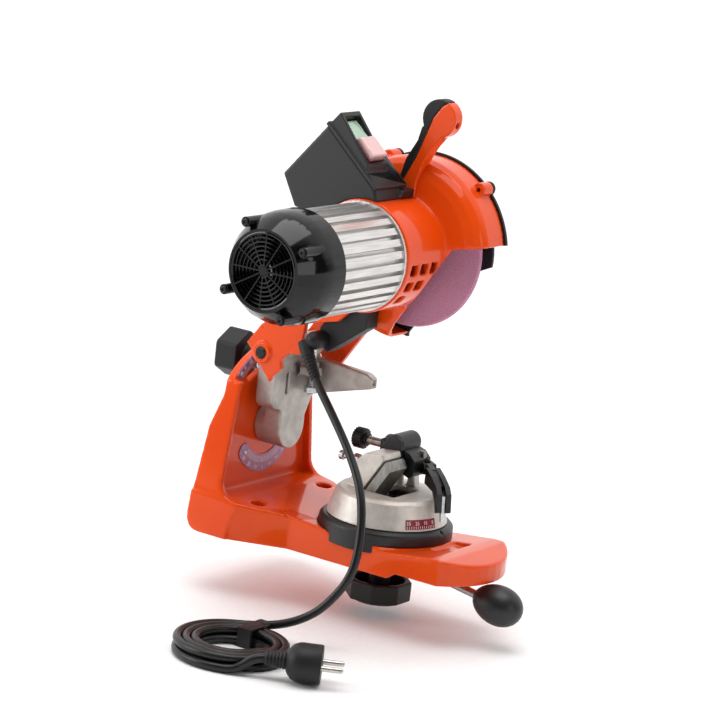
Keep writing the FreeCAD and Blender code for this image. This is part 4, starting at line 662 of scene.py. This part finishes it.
ALONG_Y = Matrix.Rotation(-math.pi / 2, 4, "X")
HINGE_X, HINGE_Z = -0.014, 0.176
springs = []
for y in (-0.0453, 0.0364):
    place = Matrix.Translation((HINGE_X, y, HINGE_Z)) @ ALONG_Y
    springs.append(grown("coil", coil_spring, place, Turns=3.6, Radius=0.0080, Height=0.0089, Wire=0.0011,
                         Finish=zinc))
hinge_springs = joined("hinge_springs", springs)
dress(hinge_springs, "tilt_carrier", "spring_steel", zinc, "return_springs")
stop_spring = grown("depth_spring", coil_spring, Matrix.Translation((0.003, 0.008, 0.1395)),
                    Turns=5.5, Radius=0.0041, Height=0.0100, Wire=0.0006, Finish=zinc)
soften(stop_spring.data, 50.0)
dress(stop_spring, "tilt_carrier", "spring_steel", zinc, "depth_stop_spring")
paint(zinc, "tilt_clamp_bolt", "tilt_clamp_washer", "depth_stop_screw", "hinge_pin")
# black oxide: dark, slightly brown, oiled
blackened = finish("blackened_steel", "#1D1C1C", "#171616", "#262525", 0.0012, Metallic=0.3, Roughness=0.42,
                   Specular_IOR_Level=0.4)
paint(blackened, "hinge_pin_caps")
tilt_knob = cast("tilt_lock_knob", "tilt_knob_moulding", 0.0008, 6)
dress(tilt_knob, "tilt_knob", "black_matte", nylon, "tilt_lock_knob")

# ---------------------------------------------------------------------------
# Yoke that carries the head: two hinge cheeks joined by a sloping web, cast in aluminium and
# enamelled like the base.  It turns on the hinge pin, and the guard's neck is seated in it.
# ---------------------------------------------------------------------------
yoke = cast("head_yoke", "yoke_casting", 0.0010, 4, 0.7)
dress(yoke, "head", "orange_paint", enamel, "head_yoke")

# ---------------------------------------------------------------------------
# Motor: finned aluminium extrusion with a turned ring in front, steel shaft, laminated core with
# enamelled windings, and a cooling fan behind a grille in the gloss black cover.
# ---------------------------------------------------------------------------
# extruded aluminium: bright, with die lines along the fins
drawn = finish("extruded_aluminium", "#DAD8D5", "#CBC9C6", "#E8E6E4", 0.0009, 0.00003,
               stretch=(1.0, 0.03, 1.0), span=(0.3, 0.7), Metallic=0.9, Roughness=0.3)
fins = machined("motor_shell", "motor_fins", 0.0005)
dress(fins, "head", "fin_aluminium", drawn, "motor_shell")
paint(drawn, "rear_shield")
# gloss ABS: near black, mirror-like, with a faint waviness
gloss = finish("gloss_abs", "#040404", "#050505", "#090909", 0.02, 0.00008,
               Roughness=0.1, Specular_IOR_Level=0.34)
bowl = machined("fan_cover", "fan_cover_bowl", 0.0006)
dress(bowl, "head", "black_gloss", gloss, "fan_cover")

# places on the cover's end: X across it, Y up it and Z out of it, from the spindle's axis
SPINDLE = Vector((0.104, 0.0, 0.293))
COVER_END = -0.236
BEHIND = Matrix(((1, 0, 0, SPINDLE.x), (0, 0, -1, COVER_END), (0, 1, 0, SPINDLE.z), (0, 0, 0, 1)))
GRILLE = SPINDLE + Vector((0, COVER_END, 0))
GRILLE_R, GRILLE_THICK = 0.0339, 0.0028
BAR_HALF, RIM_HALF = 0.0006, 0.00115
spoke = block("spoke", (-0.0145, -BAR_HALF, -GRILLE_THICK), (0.0145, BAR_HALF, -0.0002))
grille_parts = [grown("spokes", round_row, BEHIND, Part=spoke, Count=12, First=0.0, Step=math.radians(30),
                      Radius=0.0185, Finish=gloss)]
for share in (0.155, 0.30, 0.41, 0.52, 0.63, 0.74, 0.85, 0.965):
    radius = GRILLE_R * share
    half = RIM_HALF if share > 0.9 else BAR_HALF
    ring = [(radius - half, 0.0004), (radius, 0.0), (radius + half, 0.0004), (radius + half, GRILLE_THICK),
            (radius - half, GRILLE_THICK)]
    grille_parts.append(turned("ring", ring, GRILLE, (0, 1, 0)))
hub = [(0.0, -0.0001), (0.0040, 0.0002), (0.0048, 0.0012), (0.0048, 0.003), (0.0, 0.003)]
grille_parts.append(turned("hub", hub, GRILLE, (0, 1, 0)))
grille = joined("fan_grille_moulding", grille_parts)
dress(grille, "head", "black_gloss", gloss, "fan_grille")

BOLT_CIRCLE = 0.0448
screw_profile = [(0.0, -0.004), (0.0015, -0.004), (0.0015, 0.0), (0.0033, 0.0), (0.0033, 0.0012),
                 (0.0027, 0.0020), (0.0012, 0.0022), (0.0012, 0.0011), (0.0, 0.0011)]
screw_head = turned("screw_head", screw_profile, (0, 0, 0), (0, 0, 1), 20)
cover_bolts = grown("fan_cover_bolts", round_row, BEHIND, Part=screw_head, Count=4, First=math.radians(31),
                    Step=math.radians(90), Radius=BOLT_CIRCLE, Finish=blackened)
soften(cover_bolts.data)
dress(cover_bolts, "head", "black_steel", blackened, "fan_cover_screws")
paint(nylon, "cooling_fan")
# enamelled winding wire: copper under a clear brown lacquer
copper = finish("enamelled_copper", "#A85A2A", "#984E22", "#B8683A", 0.001, Metallic=0.9, Roughness=0.35)
paint(copper, "stator_windings")
paint(zinc, "motor_shaft", "rotor_core", "stator_core", "motor_bearings")

# ---------------------------------------------------------------------------
# Wheel guard with the round neck that holds the motor, enamelled, and its black outer cover with
# three screws; inside it the pink corundum wheel between two flanges, held by a nut.
# ---------------------------------------------------------------------------
guard = cast("wheel_guard", "guard_casting", 0.0012, 4, 0.7)
EAR_R, EAR_ANGLE = 0.087, math.radians(47.0)
EAR = SPINDLE + Vector((EAR_R * math.cos(EAR_ANGLE), 0.0, EAR_R * math.sin(EAR_ANGLE)))
bore = [(0.0, 0.0), (0.0021, 0.0), (0.0021, 0.008), (0.0, 0.008)]
cut(guard, [turned("ear_bore", bore, EAR, (0, 1, 0), 24)])
dress(guard, "head", "orange_paint", enamel, "wheel_guard")
cover = machined("guard_cover", "guard_cover_plate", 0.0007)
dress(cover, "head", "black_matte", nylon, "guard_cover")
paint(blackened, "cover_screws", "wheel_flanges")
paint(zinc, "wheel_nut")
# bonded corundum: dusty pink grains with darker pores, drawn at 1.1 mm so that they show
grit = finish("pink_corundum", "#C088A6", "#B0748F", "#CF9AB6", 0.0011, 0.0002, detail=3.0, span=(0.3, 0.7),
              Roughness=0.95, Specular_IOR_Level=0.2)
wheel = machined("grinding_wheel", "corundum_wheel", 0.0005)
dress(wheel, "spindle", "wheel_grit", grit, "grinding_wheel")

# ---------------------------------------------------------------------------
# Handle: aluminium casting in the orange enamel, seated on the guard's neck beside the guard,
# with a soft black grip of rubber moulded on its back.
# ---------------------------------------------------------------------------
handle = cast("handle", "handle_casting", 0.0007, 8)
dress(handle, "head", "orange_paint", enamel, "handle")
# thermoplastic rubber: dull black with a fine skin
rubber = finish("soft_rubber", "#121212", "#0F0F0F", "#181818", 0.0009, 0.0001, Roughness=0.55,
                Specular_IOR_Level=0.4)
grip = cast("handle_grip", "handle_grip_moulding", 0.0007, 8)
dress(grip, "head", "soft_grip", rubber, "handle_grip")

# ---------------------------------------------------------------------------
# Switch box: black ABS moulding on the neck with a lid, a framed well, and two covered keys; the
# green one lies back in its frame and the red one stands out of it.
# ---------------------------------------------------------------------------
# moulded ABS: dark grey-black, satin, with spark grain
satin_abs = finish("satin_abs", "#161617", "#131314", "#1B1B1D", 0.0008, 0.00005, Roughness=0.42,
                   Specular_IOR_Level=0.5)
box_shell = cast("switch_box", "switch_box_moulding", 0.0009, 7, 0.7)
dress(box_shell, "head", "black_matte", satin_abs, "switch_box")
lid = machined("switch_box_lid", "switch_lid_moulding", 0.0012, 3)
dress(lid, "head", "black_matte", satin_abs, "switch_box_lid")
paint(nylon, "switch_module")

# the way the keys face, along which their covers are painted paler as a painted highlight, and how far out
# along it the lid's face lies
KEY_OUT = Vector((0.6498, 0.0, 0.7601))
LID_OUT = KEY_OUT.dot(SPINDLE + Vector((-0.049, 0.0, 0.109)))


def key_cap_painted_highlight(name, foot, top, low, high):
    """Translucent cover of a key: deep colour at its foot, pale at its top, both above the lid; the pale top
    is a painted highlight, the overhead light's reflection painted into the colour.
    """
    material, shader = coated(name, high, Roughness=0.16, Transmission_Weight=0.12, Coat_Weight=0.5,
                              Coat_Roughness=0.05)
    tree = material.node_tree
    place = add(tree, "ShaderNodeTexCoord")
    out = add(tree, "ShaderNodeVectorMath", {0: place.outputs["Object"], 1: KEY_OUT}, operation="DOT_PRODUCT")
    # painted highlight: the colour turns pale towards the top, where the overhead light's reflection is
    # painted in
    colour = shaded(tree, out.outputs["Value"], low, high, (LID_OUT + foot, LID_OUT + top))
    tree.links.new(colour, shader.inputs["Base Color"])
    return material


# each cover runs from its own deep green or red at the foot to a pale painted highlight at the top
green = key_cap_painted_highlight("green_key_cover_painted_highlight", 0.0086, 0.0113, "#0A5230", "#A9C6AE")
red = key_cap_painted_highlight("red_key_cover_painted_highlight", 0.0089, 0.0158, "#6A0A1A", "#E9BDBB")
start = machined("start_button", "start_key_cover", 0.0012, 3)
dress(start, "start_key", "green_button", green, "start_button")
stop = machined("stop_button", "stop_key_cover", 0.0016, 3)
dress(stop, "stop_key", "red_button", red, "stop_button")

# ---------------------------------------------------------------------------
# Vise: black ring that sits on the arm, satin aluminium cone with the fixed jaw, the moving jaw
# on its pin, the zinc plated adjusting screw, and the dark red swivel scale.
# ---------------------------------------------------------------------------
saddle = cast("vise_saddle", "saddle_casting", 0.0009, 5, 0.7)
dress(saddle, "base", "black_matte", satin_abs, "vise_saddle")
# machined and tumbled casting: satin, warm grey, with soft clouds
satin = finish("satin_aluminium", "#CFC8C0", "#C3BCB4", "#DAD4CC", 0.010, 0.00007, skin=0.0009, detail=4.0,
               span=(0.3, 0.7), Metallic=0.45, Roughness=0.42)
vise = cast("vise_base", "vise_casting", 0.0008, 4, 0.7)
dress(vise, "vise", "bare_casting", satin, "vise_base")
jaw = machined("moving_jaw", "moving_jaw_casting", 0.0010)
# hardened jaw, ground and oiled: darker and shinier than the casting round it
oiled = finish("oiled_steel", "#8A8683", "#77736F", "#9C9894", 0.003, detail=3.0, stretch=(1.0, 1.0, 0.15),
               span=(0.3, 0.7), Metallic=0.75, Roughness=0.34)
dress(jaw, "jaw", "bare_casting", oiled, "moving_jaw")
paint(zinc, "jaw_adjust_screw", "swivel_bolt")
paint(blackened, "jaw_pin")
# printed film: dark red with a satin lacquer
red_film = finish("printed_film", "#7C1420", "#71111C", "#881A27", 0.004, Roughness=0.35)
band = machined("swivel_scale", "swivel_scale_film", 0.0001)
dress(band, "vise", "red_print", red_film, "swivel_scale")
SWIVEL = Vector((0.108, 0.0, 0.0))
FOOT_R, FOOT_Z = 0.0565, 0.0403
TOP_R, TOP_Z = 0.0495, 0.063
CONE_LEAN = math.atan2(FOOT_R - TOP_R, TOP_Z - FOOT_Z)
FILM = 0.00055


def on_cone(angle, level):
    """Place on the film round the cone, with X around it, Y up it and Z out of it."""
    radius = FOOT_R - (level - FOOT_Z) * math.tan(CONE_LEAN) + FILM
    spin = Matrix.Rotation(math.radians(angle), 4, "Z")
    stand = Matrix(((0, -math.sin(CONE_LEAN), math.cos(CONE_LEAN), radius), (1, 0, 0, 0),
                    (0, math.cos(CONE_LEAN), math.sin(CONE_LEAN), level), (0, 0, 0, 1)))
    return Matrix.Translation(SWIVEL) @ spin @ stand


marks = []
for step, text in enumerate(("35", "25", "15", "0")):
    marks.append((text, on_cone(-36.0 + 9.4 * step, FOOT_Z + 0.0078)))
swivel_figures = printed("swivel_scale_figures", marks, 0.0046)
dress(swivel_figures, "vise", "red_print", ink)
ticks = []
for step in range(15):
    stroke = tick(0.0004, 0.0024)
    stroke.data.transform(on_cone(-37.5 + 2.35 * step, FOOT_Z + 0.0042))
    ticks.append(stroke)
swivel_ticks = joined("swivel_scale_ticks", ticks)
dress(swivel_ticks, "vise", "red_print", ink)

# ---------------------------------------------------------------------------
# Chain stop: black castings, a ribbed knob on its thick spindle, and a hanging arm of two cheeks
# with a zinc plated pawl between them.
# ---------------------------------------------------------------------------
# black lacquer over a small casting: satin, almost neutral
lacquer = finish("black_lacquer", "#0F0F10", "#0C0C0D", "#141415", 0.0010, 0.00008, Roughness=0.4,
                 Specular_IOR_Level=0.45)
stop_body = cast("chain_stop_body", "chain_stop_casting", 0.0005, 5, 0.8)
dress(stop_body, "vise", "black_matte", lacquer, "chain_stop_body")
carriage = machined("chain_stop_carriage", "chain_stop_slide", 0.0008)
dress(carriage, "stop_slide", "black_matte", lacquer, "chain_stop_carriage")
arm = machined("chain_stop_arm", "chain_stop_hook", 0.0008)
dress(arm, "stop_flap", "black_matte", lacquer, "chain_stop_arm")
paint(zinc, "chain_stop_pawl")
STOP_AXIS = Vector((0.0, 0.030, 0.0975))
KNOB_R = 0.0092
knob_profile = [(0.0042, 0.046), (0.0082, 0.046), (KNOB_R, 0.0472), (KNOB_R, 0.0560), (0.0084, 0.0570),
                (0.0062, 0.0572), (0.0060, 0.0600), (0.0042, 0.0600)]
knob_core = turned("core", knob_profile, STOP_AXIS, (1, 0, 0))
# places on the knob: X across it, Y up it and Z along its axis
ON_STOP = Matrix(((0, 0, 1, 0.0), (1, 0, 0, STOP_AXIS.y), (0, 1, 0, STOP_AXIS.z), (0, 0, 0, 1)))
rib = block("rib", (-0.0012, -0.00065, 0.0468), (0.0007, 0.00065, 0.0564))
ribs = grown("ribs", round_row, ON_STOP, Part=rib, Count=20, First=0.0, Step=math.radians(18), Radius=KNOB_R,
             Finish=nylon)
stop_knob = joined("chain_stop_knob_moulding", [knob_core, ribs])
dress(stop_knob, "stop_screw", "black_matte", nylon, "chain_stop_knob")
paint(oiled, "chain_stop_spindle")

# ---------------------------------------------------------------------------
# Under the arm: octagonal black knob on the swivel bolt, and the zinc plated lever with its
# black egg-shaped grip.
# ---------------------------------------------------------------------------
swivel_knob = cast("swivel_lock_knob", "swivel_knob_moulding", 0.0009, 5)
dress(swivel_knob, "swivel_knob", "black_matte", nylon, "swivel_lock_knob")
paint(zinc, "clamp_lever")
SLOPE = math.radians(9.0)
GRIP_R, GRIP_HALF, GRIP_AT = 0.0185, 0.025, 0.130
EGG_STEPS, EGG_TAPER = 40, 0.08
egg = []
for step in range(EGG_STEPS + 1):
    angle = math.pi * step / EGG_STEPS
    radius = max(0.0, GRIP_R * math.sin(angle) / (1.0 + EGG_TAPER * math.cos(angle)))
    egg.append((radius, GRIP_AT - GRIP_HALF * math.cos(angle)))
ball = turned("lever_grip", egg, (SWIVEL.x, 0.0, 0.007), (math.cos(SLOPE), 0.0, -math.sin(SLOPE)), 64)
dress(ball, "lever", "black_matte", satin_abs, "lever_ball")
